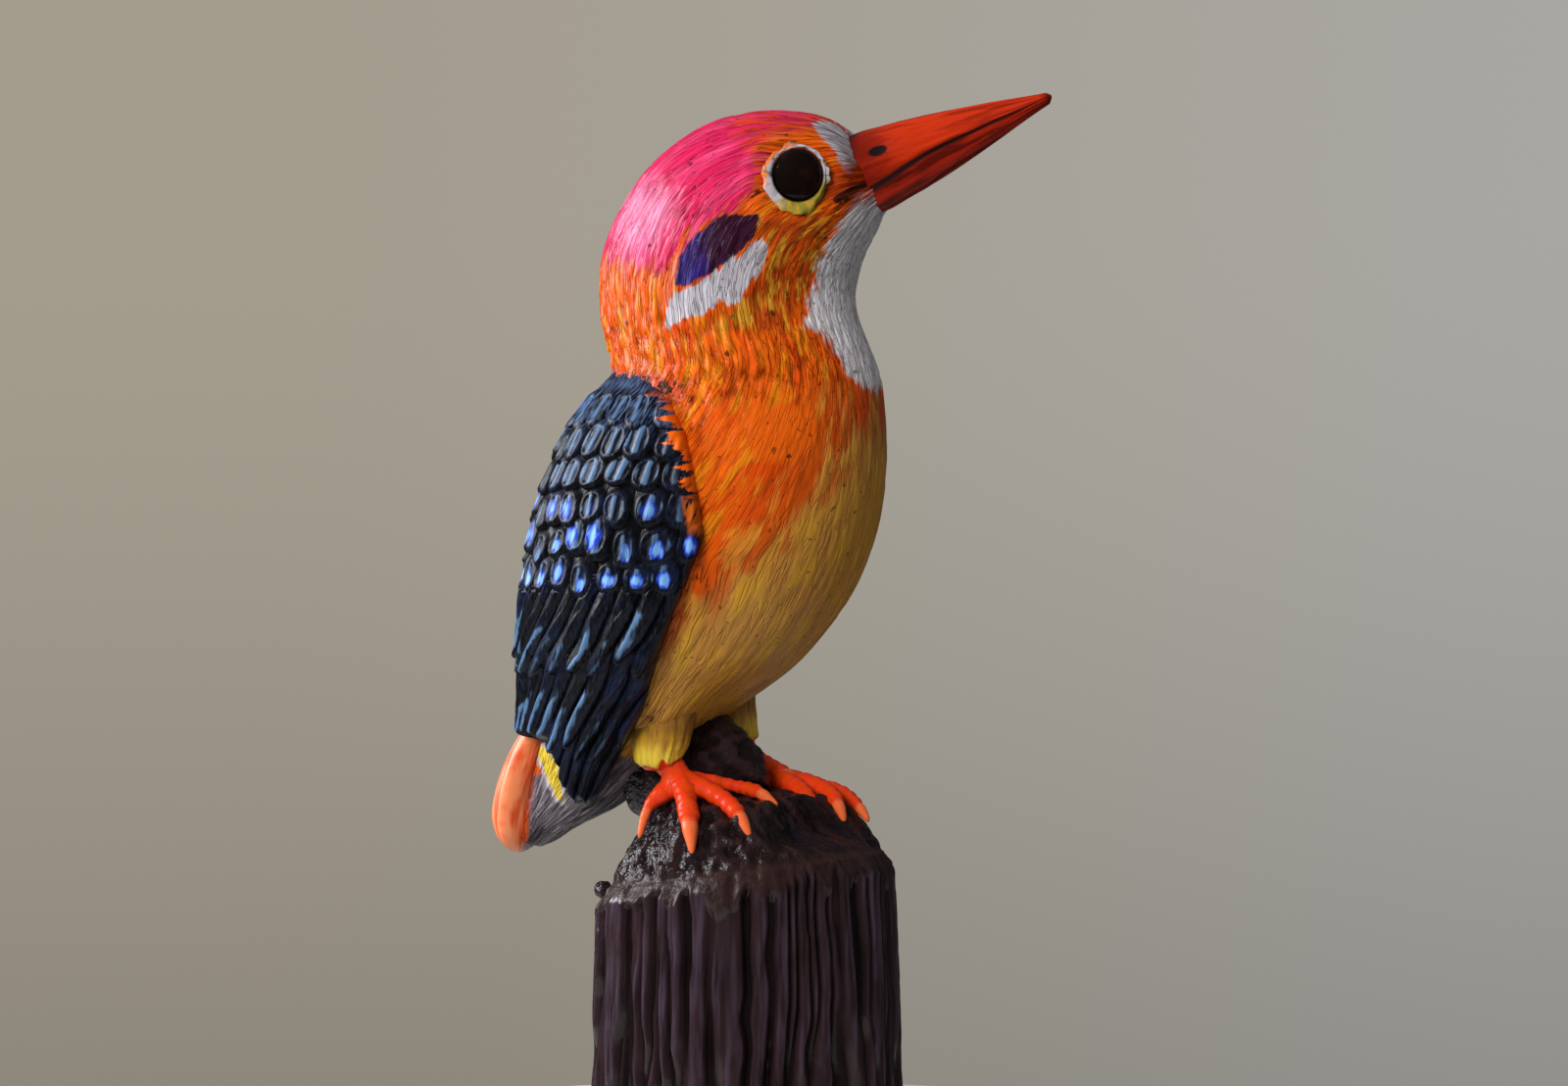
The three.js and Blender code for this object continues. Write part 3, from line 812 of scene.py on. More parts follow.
@dataclass
class Body:
    """The head and body as one skin, drawn through stations from the bill's root to the tail's root."""

    columns: int = 432
    rows: int = 228
    flow_radius: float = 16.0
    eye: tuple[float, float, float] = (11.7, 10.5, 142.9)
    hip: tuple[float, float, float] = (-8.3, 10.6, 71.8)
    tuft: tuple[float, float, float] = (-6.6, 0.0, 150.4)
    # Small dark blemishes in the paint: the place in the portrait and the radius.
    marks: tuple[tuple[float, float, float], ...] = (
        (774, 197, 4), (770, 202, 3), (862, 203, 4), (856, 206, 3.5), (806, 465, 3), (707, 550, 3),
        (693, 628, 4), (652, 395, 5), (676, 388, 4), (742, 360, 3), (690, 350, 4), (640, 330, 3),
        (662, 722, 4), (788, 320, 3))
    # Each station: the back edge's x and z, the front edge's x and z, and the half width.
    stations: tuple[tuple[float, ...], ...] = (
        (18.4, 144.4, 18.5, 144.0, 0.1), (15.4, 148.7, 20.6, 139.6, 4.6), (12.8, 150.7, 19.4, 137.6, 7.8),
        (8.0, 152.1, 18.2, 135.2, 10.6), (1.2, 152.1, 17.0, 133.0, 12.6), (-6.0, 150.0, 16.1, 131.0, 13.7),
        (-12.5, 145.3, 15.6, 129.0, 14.3), (-17.1, 139.2, 15.5, 127.0, 14.5),
        (-19.7, 132.9, 16.0, 124.4, 14.6), (-19.7, 125.4, 17.3, 120.8, 15.2),
        (-17.8, 117.6, 18.9, 116.2, 16.6), (-18.6, 110.4, 19.7, 110.2, 18.2),
        (-21.8, 102.3, 19.6, 102.9, 19.4), (-24.3, 94.1, 18.1, 94.7, 19.6), (-25.8, 85.9, 14.2, 86.4, 18.4),
        (-26.8, 77.7, 6.9, 77.4, 15.8), (-28.0, 70.9, -2.6, 70.4, 12.4), (-29.4, 65.2, -12.0, 62.6, 8.6),
        (-30.6, 60.5, -18.6, 57.4, 6.6), (-31.6, 56.0, -25.0, 54.2, 5.2), (-31.8, 52.6, -29.4, 51.6, 3.6),
        (-31.0, 51.6, -30.8, 51.5, 0.1))

    def skin(self, across: Array, along: Array) -> tuple[Array, Array, Array]:
        """The smooth skin that the feathers are laid on.

        Args:
            across: each point's share round the body, from 0 to 1.
            along: each point's share from the bill's root to the tail's, from 0 to 1.

        Returns:
            The points, and each point's place across and along the feathers' flow.
        """
        torso = ease(along, 0.42, 0.55)
        turn = 2 * np.pi * across - np.pi
        turn = turn - 0.3 * torso * np.sin(turn)
        level = along[:, 0]
        backs = spline([(s[0], s[4], s[1]) for s in self.stations], level)
        fronts = spline([(s[2], 0.0, s[3]) for s in self.stations], level)
        half = np.maximum(backs[:, 1], 0)
        backs[:, 1] = 0
        centres = (backs + fronts) / 2
        reach = (fronts - centres)[:, None, :] * np.cos(turn)[..., None]
        points = centres[:, None, :] + reach
        points[..., 1] += half[:, None] * np.sin(turn)
        run = np.concatenate([[0.0], np.cumsum(np.linalg.norm(np.diff(centres, axis=0), axis=1))])
        return points, turn * self.flow_radius, np.repeat(run[:, None], across.shape[1], axis=1)

    @staticmethod
    def barbs(across: Array, along: Array, width: float, length: float, seed: int) -> Array:
        """Overlapping brush-cut barbs that follow the flow.

        Args:
            across: the place across the flow.
            along: the place along it.
            width: the width of one barb.
            length: the length of one barb.
            seed: which noise of its kind.

        Returns:
            The height, from -1 in the grooves to 1 on the crests.
        """
        sway = 0.9 * ripple(across / 5, along / 7, seed)
        lanes = (across + sway) / width
        shift = 3 * scatter(np.floor(lanes), np.zeros_like(lanes), seed + 5)
        soft = ripple(lanes, along / length + shift, seed + 1)
        crest = 1 - 2 * np.abs(ripple(lanes * 0.8 + 7.3, along / (length * 1.4), seed + 2))
        return 0.6 * soft + 0.4 * crest

    @staticmethod
    def tufted(across: Array, along: Array, width: float, length: float, seed: int) -> Array:
        """Short overlapping tufts that rise along the flow to a blunt tip.

        Args:
            across: the place across the flow.
            along: the place along it.
            width: the width of one tuft.
            length: the length of one tuft.
            seed: which noise of its kind.

        Returns:
            The height, from about -1 to 1.
        """
        lanes = (across + 0.5 * ripple(across / 3, along / 3, seed)) / width
        lane = np.floor(lanes)
        shift = scatter(lane, np.zeros_like(lane), seed + 1) * 2
        step = along / length + shift
        rise = step - np.floor(step)
        rise = rise * (1 - ease(rise, 0.8, 1.0))
        return 2.2 * rise * (1 - (2 * (lanes - lane) - 1) ** 2) - 0.7

    @staticmethod
    def combed(across: Array, along: Array, width: float, length: float, seed: int) -> Array:
        """Long thin grooves that follow the flow.

        Args:
            across: the place across the flow.
            along: the place along it.
            width: the width of one groove.
            length: the length of one groove.
            seed: which noise of its kind.

        Returns:
            The height, from -1 in a groove to 0 between them.
        """
        sway = 0.5 * ripple(across / 4, along / 5, seed + 3)
        return ease(np.abs(ripple((across + sway) / width, along / length, seed)), 0.0, 0.32) - 1

    def shape(self, across: Array, along: Array) -> Cast:
        """The skin with its brows, sockets and barbs, and the paint's places.

        Args:
            across: each point's share round the piece, from 0 to 1.
            along: each point's share from end to end, from 0 to 1.

        Returns:
            The points and the paint's values.
        """
        points, lane, run = self.skin(across, along)
        normals = outward(points)
        middle = len(normals) // 2
        if (normals[middle, :, 0] * (points[middle, :, 0] + 1)).sum() < 0:
            normals = -normals
        ends = ease(along, 0, 0.02) * (1 - ease(along, 0.985, 1))
        left = folded(points)
        eye = np.linalg.norm(left - self.eye, axis=-1)
        form = 0.35 * mound(eye - 6.6, 1.3) - 1.1 * (1 - ease(eye, 3.6, 5.8))
        height = points[..., 2]
        image = VIEW.seen(points)
        patches = {patch.name: inside(image, patch.value) for patch in BodyPatch}
        patches["mantle"] = np.minimum(patches["mantle"], (np.abs(lane) / self.flow_radius - 2.35) * 9)
        right, down = image[..., 0], image[..., 1]
        marks = [radius - np.hypot(right - x, (down - y) * 1.2) for x, y, radius in self.marks]
        patches["marks"] = np.max(marks, axis=0) / IMAGE_SCALE
        form += 2.3 * mound(np.linalg.norm(left - self.hip, axis=-1), 4.8)
        form += 0.8 * mound(np.linalg.norm(points - self.tuft, axis=-1), 0.8)
        neck = mound(height - 116, 8.5) * ease(along, 0.3, 0.42) * ease(np.abs(lane), 7, 15)
        lean = 0.42 * np.clip(118 - height, 0, 26) * ease(np.abs(lane), 1, 36)
        comb = np.sign(lane) * (np.abs(lane) - lean)
        head = 1 - ease(along, 0.36, 0.5)
        lanes = self.barbs(comb, run, 0.95, 5.0, 11)
        tufts = 0.55 * self.barbs(comb, run, 1.35, 3.2, 23) + 0.75 * self.tufted(comb, run, 1.3, 3.0, 29)
        fine = self.combed(comb, run, 0.5, 4.2, 37)
        smooth = np.maximum(ease(patches["bright"], -0.6, 0.6), 0.7 * ease(patches["calm"], -3, 2))
        smooth = np.maximum(smooth, 0.6 * ease(patches["throat"], -0.5, 1.5))
        barbs = (0.22 - 0.07 * head) * lanes + 0.5 * neck * tufts + (0.24 - 0.06 * head) * fine
        barbs *= (1 - 0.8 * smooth) * (1 - 0.85 * mound(eye, 4.6)) * ends
        lumps = 0.18 * ripple(lane / 6, run / 9, 51) * ends
        points = points + (form * ends + barbs + lumps)[..., None] * normals
        relief = np.clip(0.5 + 0.5 * (lanes * (1 - neck) + tufts * neck) + 0.35 * fine, 0, 1)
        return Cast(points, {"across": comb, "along": run, "relief": relief, **patches})

    def build(self) -> None:
        """Casts and dresses the body."""
        mount(cast("plumage", self.columns, self.rows, self.shape), Part.BIRD, PlumagePaint().material())


# Bill and eyes


@dataclass(frozen=True)
class BillPaint(Paint):
    """Red-orange above and maroon below, with a dark mouth line and tip."""

    name: str = "painted_bill"
    smooth: float = 0.3
    mottle: float = 0.2
    depth: float = 0.14
    gloss: float = 0.16

    def material(self) -> bpy.types.Material:
        """Mixes the bill's paint.

        Returns:
            The material.
        """
        g = self.graph()
        streak = g.grain(g.flow(0.9, 9.0), 1.0, 3.0)
        fine = g.grain(g.flow(0.3, 4.0, 5.0), 1.0, 2.0)
        share, rise = g.read("share"), g.read("rise")
        upper = g.blend(Pigment.BRICK, Pigment.BRICK_DEEP, streak.step(0.46, 0.62))
        upper = upper.coat(Pigment.MAROON, (1 - fine.step(0.3, 0.42)) * 0.25)
        near_root = 1 - (share + (streak - 0.5) * 0.2).step(0.3, 0.5)
        upper = upper.coat(Pigment.MAROON, near_root * 0.6)
        lower = g.blend(Pigment.LIVER, Pigment.LIVER_DEEP, streak.step(0.42, 0.6))
        colour = lower.coat(upper, (rise + (streak - 0.5) * 0.1).step(-0.06, 0.06))
        below = (rise + 0.1).step(-0.16, 0.0) * (1 - (rise - 0.06).step(-0.05, 0.08))
        colour = colour.coat(Pigment.MAROON, (1 - share.step(0.55, 1.0)) * below * 0.6)
        line = abs(rise + (fine - 0.5) * 0.06)
        mouth = (1 - line.step(0.05, 0.11)) * (1 - share.step(0.93, 0.98))
        colour = colour.coat(Pigment.SOOT, mouth * 0.93)
        colour = colour.coat(Pigment.SOOT, g.read("nostril").step(0.35, 0.6))
        colour = colour.coat(Pigment.MAROON, share.step(0.95, 1.0) * 0.85)
        root = (1 - (share + (streak - 0.5) * 0.1).step(0.3, 0.36)) * (rise - 0.9).step(0.0, 0.2)
        colour = colour.coat(Pigment.SOOT, root * 0.85)
        return self.seal(g, colour, fine, streak * 0.6 + fine * 0.4)


@dataclass
class Bill:
    """The long bill: a tapering wedge with a dark line along its mouth and a slit nostril on each side."""

    root: tuple[float, float, float] = (6.0, 0.0, 139.5)
    tip: tuple[float, float, float] = (43.4, 0.0, 153.2)
    # Each station: its share of the length, its half height and its half width.
    profile: tuple[tuple[float, float, float], ...] = (
        (0, 4.4, 3.6), (0.2, 5.4, 4.4), (0.35, 5.2, 4.2), (0.48, 4.55, 3.6), (0.64, 3.5, 2.8),
        (0.8, 2.25, 1.9), (0.92, 1.25, 1.1), (0.985, 0.75, 0.6), (1, 0.1, 0.1))
    # The nostril's place along the bill and up it, and the length that its pattern is laid out on.
    nostril: tuple[float, float] = (0.40, 0.42)
    length: float = 40.0
    columns: int = 144
    rows: int = 180

    def shape(self, across: Array, along: Array) -> Cast:
        """The bill's points and the paint's places.

        Args:
            across: each point's share round the piece, from 0 to 1.
            along: each point's share from end to end, from 0 to 1.

        Returns:
            The points and the paint's values.
        """
        share = 1 - (1 - along) ** 1.15
        turn = 2 * np.pi * across
        table = np.array(self.profile)
        tall = np.interp(share, table[:, 0], table[:, 1])
        wide = np.interp(share, table[:, 0], table[:, 2])
        root, tip = np.array(self.root), np.array(self.tip)
        axis = tip - root
        up = np.array([-axis[2], 0, axis[0]]) / np.linalg.norm(axis)
        rise, side = np.sin(turn), np.cos(turn)
        keel = 1 - 0.12 * np.abs(side) ** 3 + 0.13 * ease(rise, 0.1, 0.8) * (1 - ease(share, 0.85, 1.0))
        line = rise + 0.36 - 0.26 * share + 0.24 * (1 - ease(share, 0.28, 0.62))
        groove = mound(line, 0.07) * np.clip(wide / 3, 0, 1) * 0.5
        ahead, above = share - self.nostril[0], rise - self.nostril[1]
        nostril = mound(np.hypot(ahead * self.length / 1.9, above * 5 / 0.85), 0.8)
        streaks = 0.05 * ripple(turn * 6, share * 5, 3) + 0.05 * ripple(turn * 2.2, share * 14, 4)
        width = wide * np.sign(side) * np.abs(side) ** 0.9 - side * (groove + 0.45 * nostril)
        points = root + share[..., None] * axis + (tall * (rise * keel - 0.12) + streaks)[..., None] * up
        points[..., 1] += width * (1 + streaks * 0.5)
        return Cast(points, {"across": turn * 3.5, "along": share * self.length, "rise": line,
                             "nostril": nostril, "share": share})

    def build(self) -> None:
        """Casts and dresses the bill."""
        mount(cast("bill", self.columns, self.rows, self.shape), Part.BIRD, BillPaint().material())


@dataclass(frozen=True)
class BeadGlass(Paint):
    """Near-black glass with a faint brown depth."""

    name: str = "eye_bead_glass"
    smooth: float = 0.1
    mottle: float = 0.1
    depth: float = 0.05
    gloss: float = 0.2

    def material(self) -> bpy.types.Material:
        """Mixes the bead's glass.

        Returns:
            The material.
        """
        g = self.graph()
        cloud = g.grain(g.place(), 420.0, 2.0)
        colour = g.blend(Pigment.BEAD, Pigment.BEAD_DEPTH, cloud.step(0.5, 0.8) * 0.6)
        return self.seal(g, colour, cloud, cloud)


@dataclass(frozen=True)
class LidPaint(Paint):
    """White above, amber behind and olive yellow below."""

    name: str = "eye_lid_paint"
    smooth: float = 0.3
    mottle: float = 0.2
    depth: float = 0.2
    gloss: float = 0.3

    def material(self) -> bpy.types.Material:
        """Mixes the lid's paint.

        Returns:
            The material.
        """
        g = self.graph()
        streak = g.grain(g.flow(1.0, 1.6), 1.0, 2.0)
        high, fore = g.read("high") + (streak - 0.5) * 0.9, g.read("fore") + (streak - 0.5) * 0.8
        outer = (g.read("ring") + (streak - 0.5) * 1.4).step(-0.2, 0.3)
        below = (1 - high.step(-0.4, 0.1)) * fore.step(-0.8, -0.3)
        colour = g.blend(Pigment.WHITE, Pigment.OLIVE, below)
        amber = (1 - fore.step(-0.5, 0.3)) * high.step(-0.6, 0.0) * outer
        colour = colour.coat(Pigment.ORANGE, amber)
        colour = colour.coat(Pigment.AMBER, amber * streak.step(0.45, 0.55))
        colour = colour.coat(Pigment.GREY, streak.step(0.5, 0.6) * high.step(-0.1, 0.4) * 0.7)
        colour = colour.coat(Pigment.YELLOW, (1 - high.step(-0.95, -0.5)) * streak.step(0.45, 0.6) * 0.8)
        colour = colour.coat(colour.dim(0.3), streak.step(0.58, 0.68) * 0.7)
        colour = colour.coat(Pigment.SOOT, (1 - g.read("ring").step(-0.98, -0.6)) * 0.85)
        return self.seal(g, colour, streak, streak)


@dataclass
class Eye:
    """One bead eye and the raised lid round it."""

    side: Side
    place: tuple[float, float, float] = (11.7, 10.5, 142.9)
    facing: tuple[float, float, float] = (0.4, 0.91, 0.08)
    radius: float = 3.35
    depth: float = 1.9
    lid_thickness: float = 0.72
    inset: float = 0.2
    tallness: float = 1.07
    bead_grid: tuple[int, int] = (64, 40)
    lid_grid: tuple[int, int] = (96, 20)

    def axes(self) -> tuple[Array, Array, Array, Array]:
        """Works out the eye's place and directions.

        Returns:
            The eye's centre, and the directions forward, up and out of the head.
        """
        mirror = np.array([1, self.side, 1])
        out = np.array(self.facing) * mirror
        out /= np.linalg.norm(out)
        up = np.array([0, 0, 1.0]) - out[2] * out
        up /= np.linalg.norm(up)
        ahead = np.cross(up, out)
        ahead *= np.sign(ahead[0])
        return np.array(self.place) * mirror - out * self.inset, ahead, up, out

    def bead(self, across: Array, along: Array) -> Cast:
        """The polished bead.

        Args:
            across: each point's share round the piece, from 0 to 1.
            along: each point's share from end to end, from 0 to 1.

        Returns:
            The points and the paint's values.
        """
        centre, ahead, up, out = self.axes()
        turn, rise = 2 * np.pi * across, np.pi * along
        flat = self.radius * np.sin(rise)
        points = (centre + (flat * np.cos(turn))[..., None] * ahead
                  + (self.tallness * flat * np.sin(turn))[..., None] * up
                  + (self.depth * np.cos(rise))[..., None] * out)
        return Cast(points, {})

    def lid(self, across: Array, along: Array) -> Cast:
        """The lid, a ring of uneven brushed paint that is thicker below and behind.

        Args:
            across: each point's share round the piece, from 0 to 1.
            along: each point's share from end to end, from 0 to 1.

        Returns:
            The points and the paint's values.
        """
        centre, ahead, up, out = self.axes()
        turn, roll = 2 * np.pi * across, 2 * np.pi * along
        uneven = 0.3 * ring_ripple(turn, roll, 5, 14) + 0.24 * ring_ripple(turn, roll, 6, 34)
        heavy = 0.66 + 0.56 * np.cos(turn - 4.0) + uneven
        thick = self.lid_thickness * np.maximum(heavy, 0.3)
        ring = self.radius + thick * (1 + np.cos(roll))
        lift = 0.8 * thick * np.sin(roll) + 0.5 + 0.5 * uneven
        points = (centre + (ring * np.cos(turn))[..., None] * ahead
                  + (self.tallness * ring * np.sin(turn))[..., None] * up
                  + lift[..., None] * out)
        return Cast(points, {"across": turn * 4, "along": roll, "high": np.sin(turn), "fore": np.cos(turn),
                             "ring": np.cos(roll)})

    def build(self) -> None:
        """Casts and dresses the bead and its lid."""
        name = self.side.name.lower()
        bead = cast(f"eye_bead_{name}", *self.bead_grid, self.bead)
        mount(bead, Part[f"{self.side.name}_EYE"], BeadGlass().material())
        lid = cast(f"eye_lid_{name}", *self.lid_grid, self.lid, is_ring=True)
        mount(lid, Part.BIRD, LidPaint().material())


# Wings


@dataclass(frozen=True)
class WingPaint(Paint):
    """Blue-black paint with slate strokes and sky-blue dots."""

    name: str = "painted_wing"
    smooth: float = 0.24
    mottle: float = 0.2
    depth: float = 0.16
    gloss: float = 0.2

    def material(self) -> bpy.types.Material:
        """Mixes the wing's paint.

        Returns:
            The material.
        """
        g = self.graph()
        streak = g.grain(g.flow(0.7, 2.6), 1.0, 2.0)
        fine = g.grain(g.flow(0.28, 1.4, 4.0), 1.0, 2.0)
        broad = g.grain(g.place(), 160.0, 2.0)
        rank, cell = g.read("rank"), g.read("cell")
        is_flight = rank.step(9.0, 9.1)
        colour = g.blend(Pigment.BLACK, Pigment.NAVY, broad.step(0.4, 0.7) * 0.5)
        slate = (g.read("slate") + (streak - 0.5) * 1.3 + (fine - 0.5) * 0.5).step(0.18, 0.75)
        slate = slate * g.read("fore").step(1.0, 4.0)
        strength = is_flight * 0.85 + (1 - is_flight) * 0.6
        colour = colour.coat(Pigment.SLATE, slate * strength)
        along = g.read("along")
        worn = (along + (streak - 0.5) * 6).step(107, 112)
        drybrush = fine.step(0.45, 0.62) * (0.06 + worn * 0.5)
        colour = colour.coat(Pigment.DUSTY_BLUE, drybrush)
        gap = 1 - (g.read("edge") + (fine - 0.5) * 0.2).step(0.0, 0.45)
        colour = colour.coat(Pigment.BLACK, gap * 0.9 * (1 - along.step(109.5, 112)))
        across = g.read("across")
        stroke = along.step(110, 112) * across.step(9, 12) * (1 - across.step(13, 15))
        colour = colour.coat(Pigment.COBALT, stroke * streak.step(0.4, 0.55) * 0.9)
        dotted = (1 - is_flight) * (rank + cell * 0.9).step(2.8, 3.6)
        dot = (g.read("dot") + (streak - 0.5) * 1.1 + cell * 0.1).step(0.02, 0.3) * dotted
        blue = g.blend(Pigment.COBALT, Pigment.SKY, (g.read("dot") + (streak - 0.5) * 1.8).step(0.22, 0.72))
        colour = colour.coat(blue, dot)
        spike = g.grain(g.flow(5.0, 0.8, 6.0), 1.0, 1.0)
        spikes = g.read("fore") + (spike - 0.5) * 8 + (fine - 0.5) * 4
        high = along.step(99, 103) * (1 - along.step(112, 115))
        colour = colour.coat(Pigment.ORANGE, (1 - spikes.step(0.5, 1.0)) * high)
        blot = 1 - (g.read("fore") + (streak - 0.5) * 2).step(1.6, 2.2)
        blot = blot * along.step(95, 97) * (1 - along.step(99.5, 101))
        colour = colour.coat(Pigment.GINGER, blot * streak.step(0.36, 0.46) * 0.9)
        return self.seal(g, colour, fine, streak * 0.5 + fine * 0.5)


@dataclass
class Wing:
    """One folded wing: rows of rounded coverts over tiers of long flight feathers, on a shell."""

    side: Side
    columns: int = 276
    rows: int = 336
    rim: float = 0.9
    midline: float = 121.0
    covert_rows: int = 6
    covert_top: float = 112.6
    covert_pitch: float = 4.34
    covert_width: float = 4.2
    covert_half: float = 2.55
    covert_lift: float = 0.9
    # Each station: height, centre along X, radii along X and Y, and the angles of the front and back edges.
    shell: tuple[tuple[float, ...], ...] = (
        (118, -3.0, 14.0, 14.0, 118, 158), (114.5, -2.2, 18.2, 17.4, 98, 164),
        (109, -3.0, 21.2, 20.2, 84, 168), (102, -4.3, 23.0, 21.6, 76, 170), (95, -6.0, 23.3, 21.8, 69, 172),
        (86, -8.8, 21.7, 20.6, 72, 173), (78, -11.8, 19.0, 18.2, 72, 173), (71.5, -14.6, 16.4, 15.6, 69, 172),
        (66, -17.4, 13.8, 13.2, 70, 170), (61, -19.9, 11.2, 10.8, 72, 160), (55, -22.2, 8.8, 8.4, 74, 140))
    # The lower edge: the angle round the shell and the height, given from edge_start over edge_span.
    lower_edge: tuple[tuple[float, float], ...] = (
        (68, 61.5), (76, 58.0), (96, 58.4), (107, 61.5), (117, 66.6), (175, 67.4))
    edge_start: float = 70.0
    edge_span: float = 102.0
    top: float = 118.4
    # Below this height the feathers are laid out on the girth that the shell has here.
    girth_height: float = 81.5
    # The wedge inside the body that closes the wing: its upper end, and the way to its lower one.
    wedge: tuple[float, float, float] = (-7.0, 3.0, 115.0)
    wedge_run: tuple[float, float, float] = (-12.0, 0.0, -55.0)
    # Each tier of flight feathers: its level, its tips' curve, the feathers' width and lean, and its lift.
    tiers: tuple[tuple[float, ...], ...] = (
        (80.5, 3.6, 3.3, 0.55, 1.1), (69.5, 3.6, 3.2, 0.32, 1.1), (50.0, 1.0, 3.4, 0.36, 1.0))

    def station(self, height: Array, column: int) -> Array:
        """One of the shell's sizes.

        Args:
            height: the heights.
            column: which number of the stations.

        Returns:
            The size at each height.
        """
        table = np.array(self.shell)[::-1]
        smooth = [np.interp(height + shift, table[:, 0], table[:, column]) for shift in (-1.5, 0, 1.5)]
        return (smooth[0] + 2 * smooth[1] + smooth[2]) / 4

    def covert(self, aside: Array, rise: Array, chance: Array) -> dict[str, Array]:
        """One row's rounded coverts, each an oval pillow with combed grooves.

        Args:
            aside: the place across the covert, from -1 to 1.
            rise: the place up the covert, from -1 at its tip.
            chance: a fixed random number for each covert.

        Returns:
            The height of the covert's relief and its paint values.
        """
        depth = (1 - np.hypot(aside, rise)) * 2.2
        inner = ease(depth, 0.6, 1.0)
        combing = np.cos(aside * 9.0 + chance * 1.5 + 0.5 * rise)
        relief = 0.62 * ease(depth, -0.35, 0.75) - 0.12 * inner + 0.13 * combing * inner - 0.4
        tip = 0.3 + 0.7 * np.exp(-np.abs((rise + 1) * 0.9) ** 1.4)
        pillow = 0.5 + 0.5 * np.sqrt(np.clip(1 - aside ** 2, 0, 1))
        beside = (aside - 0.15 * chance) / (0.46 + 0.08 * chance)
        dot = 1 - np.hypot(beside, (rise + 0.14 - 0.14 * chance) / 0.54)
        slate = np.minimum(0.3 + 0.6 * combing, inner - 0.2) + 0.3 * chance
        return {"height": self.covert_lift * tip * pillow + relief, "dot": dot, "slate": slate,
                "edge": depth, "cell": chance}

    @staticmethod
    def flight(share: Array, drop: Array, chance: Array, lift: float) -> dict[str, Array]:
        """One tier's flight feathers.

        Args:
            share: the place across the feather, from 0 to 1.
            drop: the distance up from the feather's tip, in millimetres.
            chance: a fixed random number for each feather.
            lift: how far the tips stand off the shell.

        Returns:
            The height of the feather's relief and its paint values.
        """
        centre = 2 * share - 1
        edge = np.minimum(drop * 0.9, (1 - np.abs(centre)) * 1.65 + 0.05)
        quill = centre - 0.3 * chance + 0.35 * ripple(chance * 7, drop / 2.5, 19)
        relief = 0.5 * (1 - centre ** 2) ** 0.7 - 0.3 * mound(edge, 0.25) + 0.22 * mound(quill, 0.26)
        relief = relief + 0.07 * ripple(centre * 5 + 3 * chance, drop / 3, 12)
        length = mound(drop - 3.2 - 1.2 * chance, 3.4)
        slate = (1 - np.abs(quill) / (0.5 + 0.12 * chance)) * ease(length, 0.2, 0.7)
        slate = slate * np.where(chance < -0.6, 0.45, 1.0)
        tile = 0.25 + 0.75 * np.exp(-np.abs(drop / 7.0) ** 1.3)
        rounded = 0.4 + 0.6 * (1 - np.abs(centre) ** 2.4)
        return {"height": lift * tile * rounded + relief, "dot": np.full_like(share, -1.0),
                "slate": slate, "edge": edge, "cell": chance}

    def plumage(self, lane: Array, height: Array) -> dict[str, Array]:
        """Lays every feather of the wing.

        Args:
            lane: the place round the shell, in millimetres.
            height: the height, in millimetres.

        Returns:
            The height of the feathers' relief and their paint values.
        """
        sway = lane + 0.7 * ripple(lane / 6, height / 5, 71 + self.side)
        level_sway = 0.8 * ripple(lane / 6, height / 7, 77 + self.side)
        found: dict[str, Array] = {}

        def lay(made: dict[str, Array], over: Array, rank: int) -> None:
            """Lays feathers over those found so far.

            Args:
                made: the feathers' relief and paint values.
                over: where they show.
                rank: the number of their row.
            """
            made["rank"] = np.full_like(lane, rank)
            for key, value in made.items():
                found[key] = np.where(over, value, found.get(key, value))

        for number in (2, 1, 0):
            level, curve, width, lean, lift = self.tiers[number]
            slant = lean * (1 + 0.035 * np.clip(lane, -10, 14))
            place = (sway - slant * (level - height)) / width + number / 2 + 0.3
            cell = np.floor(place)
            chance = scatter(cell, np.full_like(cell, number), 31 + self.side)
            tip = level + level_sway - curve * (1 - np.abs(2 * (place - cell) - 1) ** 2.4) + 1.1 * chance
            lay(self.flight(place - cell, height - tip, chance, lift), height >= tip, 10 + number)
        for number in reversed(range(self.covert_rows)):
            level = self.covert_top - number * self.covert_pitch - 0.6
            place = sway / self.covert_width + number / 2
            for beside in (-1, 1, 0):
                cell = np.floor(place) + beside
                chance = scatter(cell, np.full_like(cell, number + 10), 31 + self.side)
                other = scatter(cell, np.full_like(cell, number + 30), 37 + self.side)
                rise = (height - level - level_sway - 0.6 * chance) / (self.covert_half + 0.3 * other)
                lean = (0.16 + 0.1 * other) * rise
                aside = (place - cell - 0.5 - 0.16 * other) / (0.57 + 0.06 * chance) - lean
                lay(self.covert(aside, rise, chance), np.hypot(aside, np.minimum(rise, 0)) < 1, number)
        return found

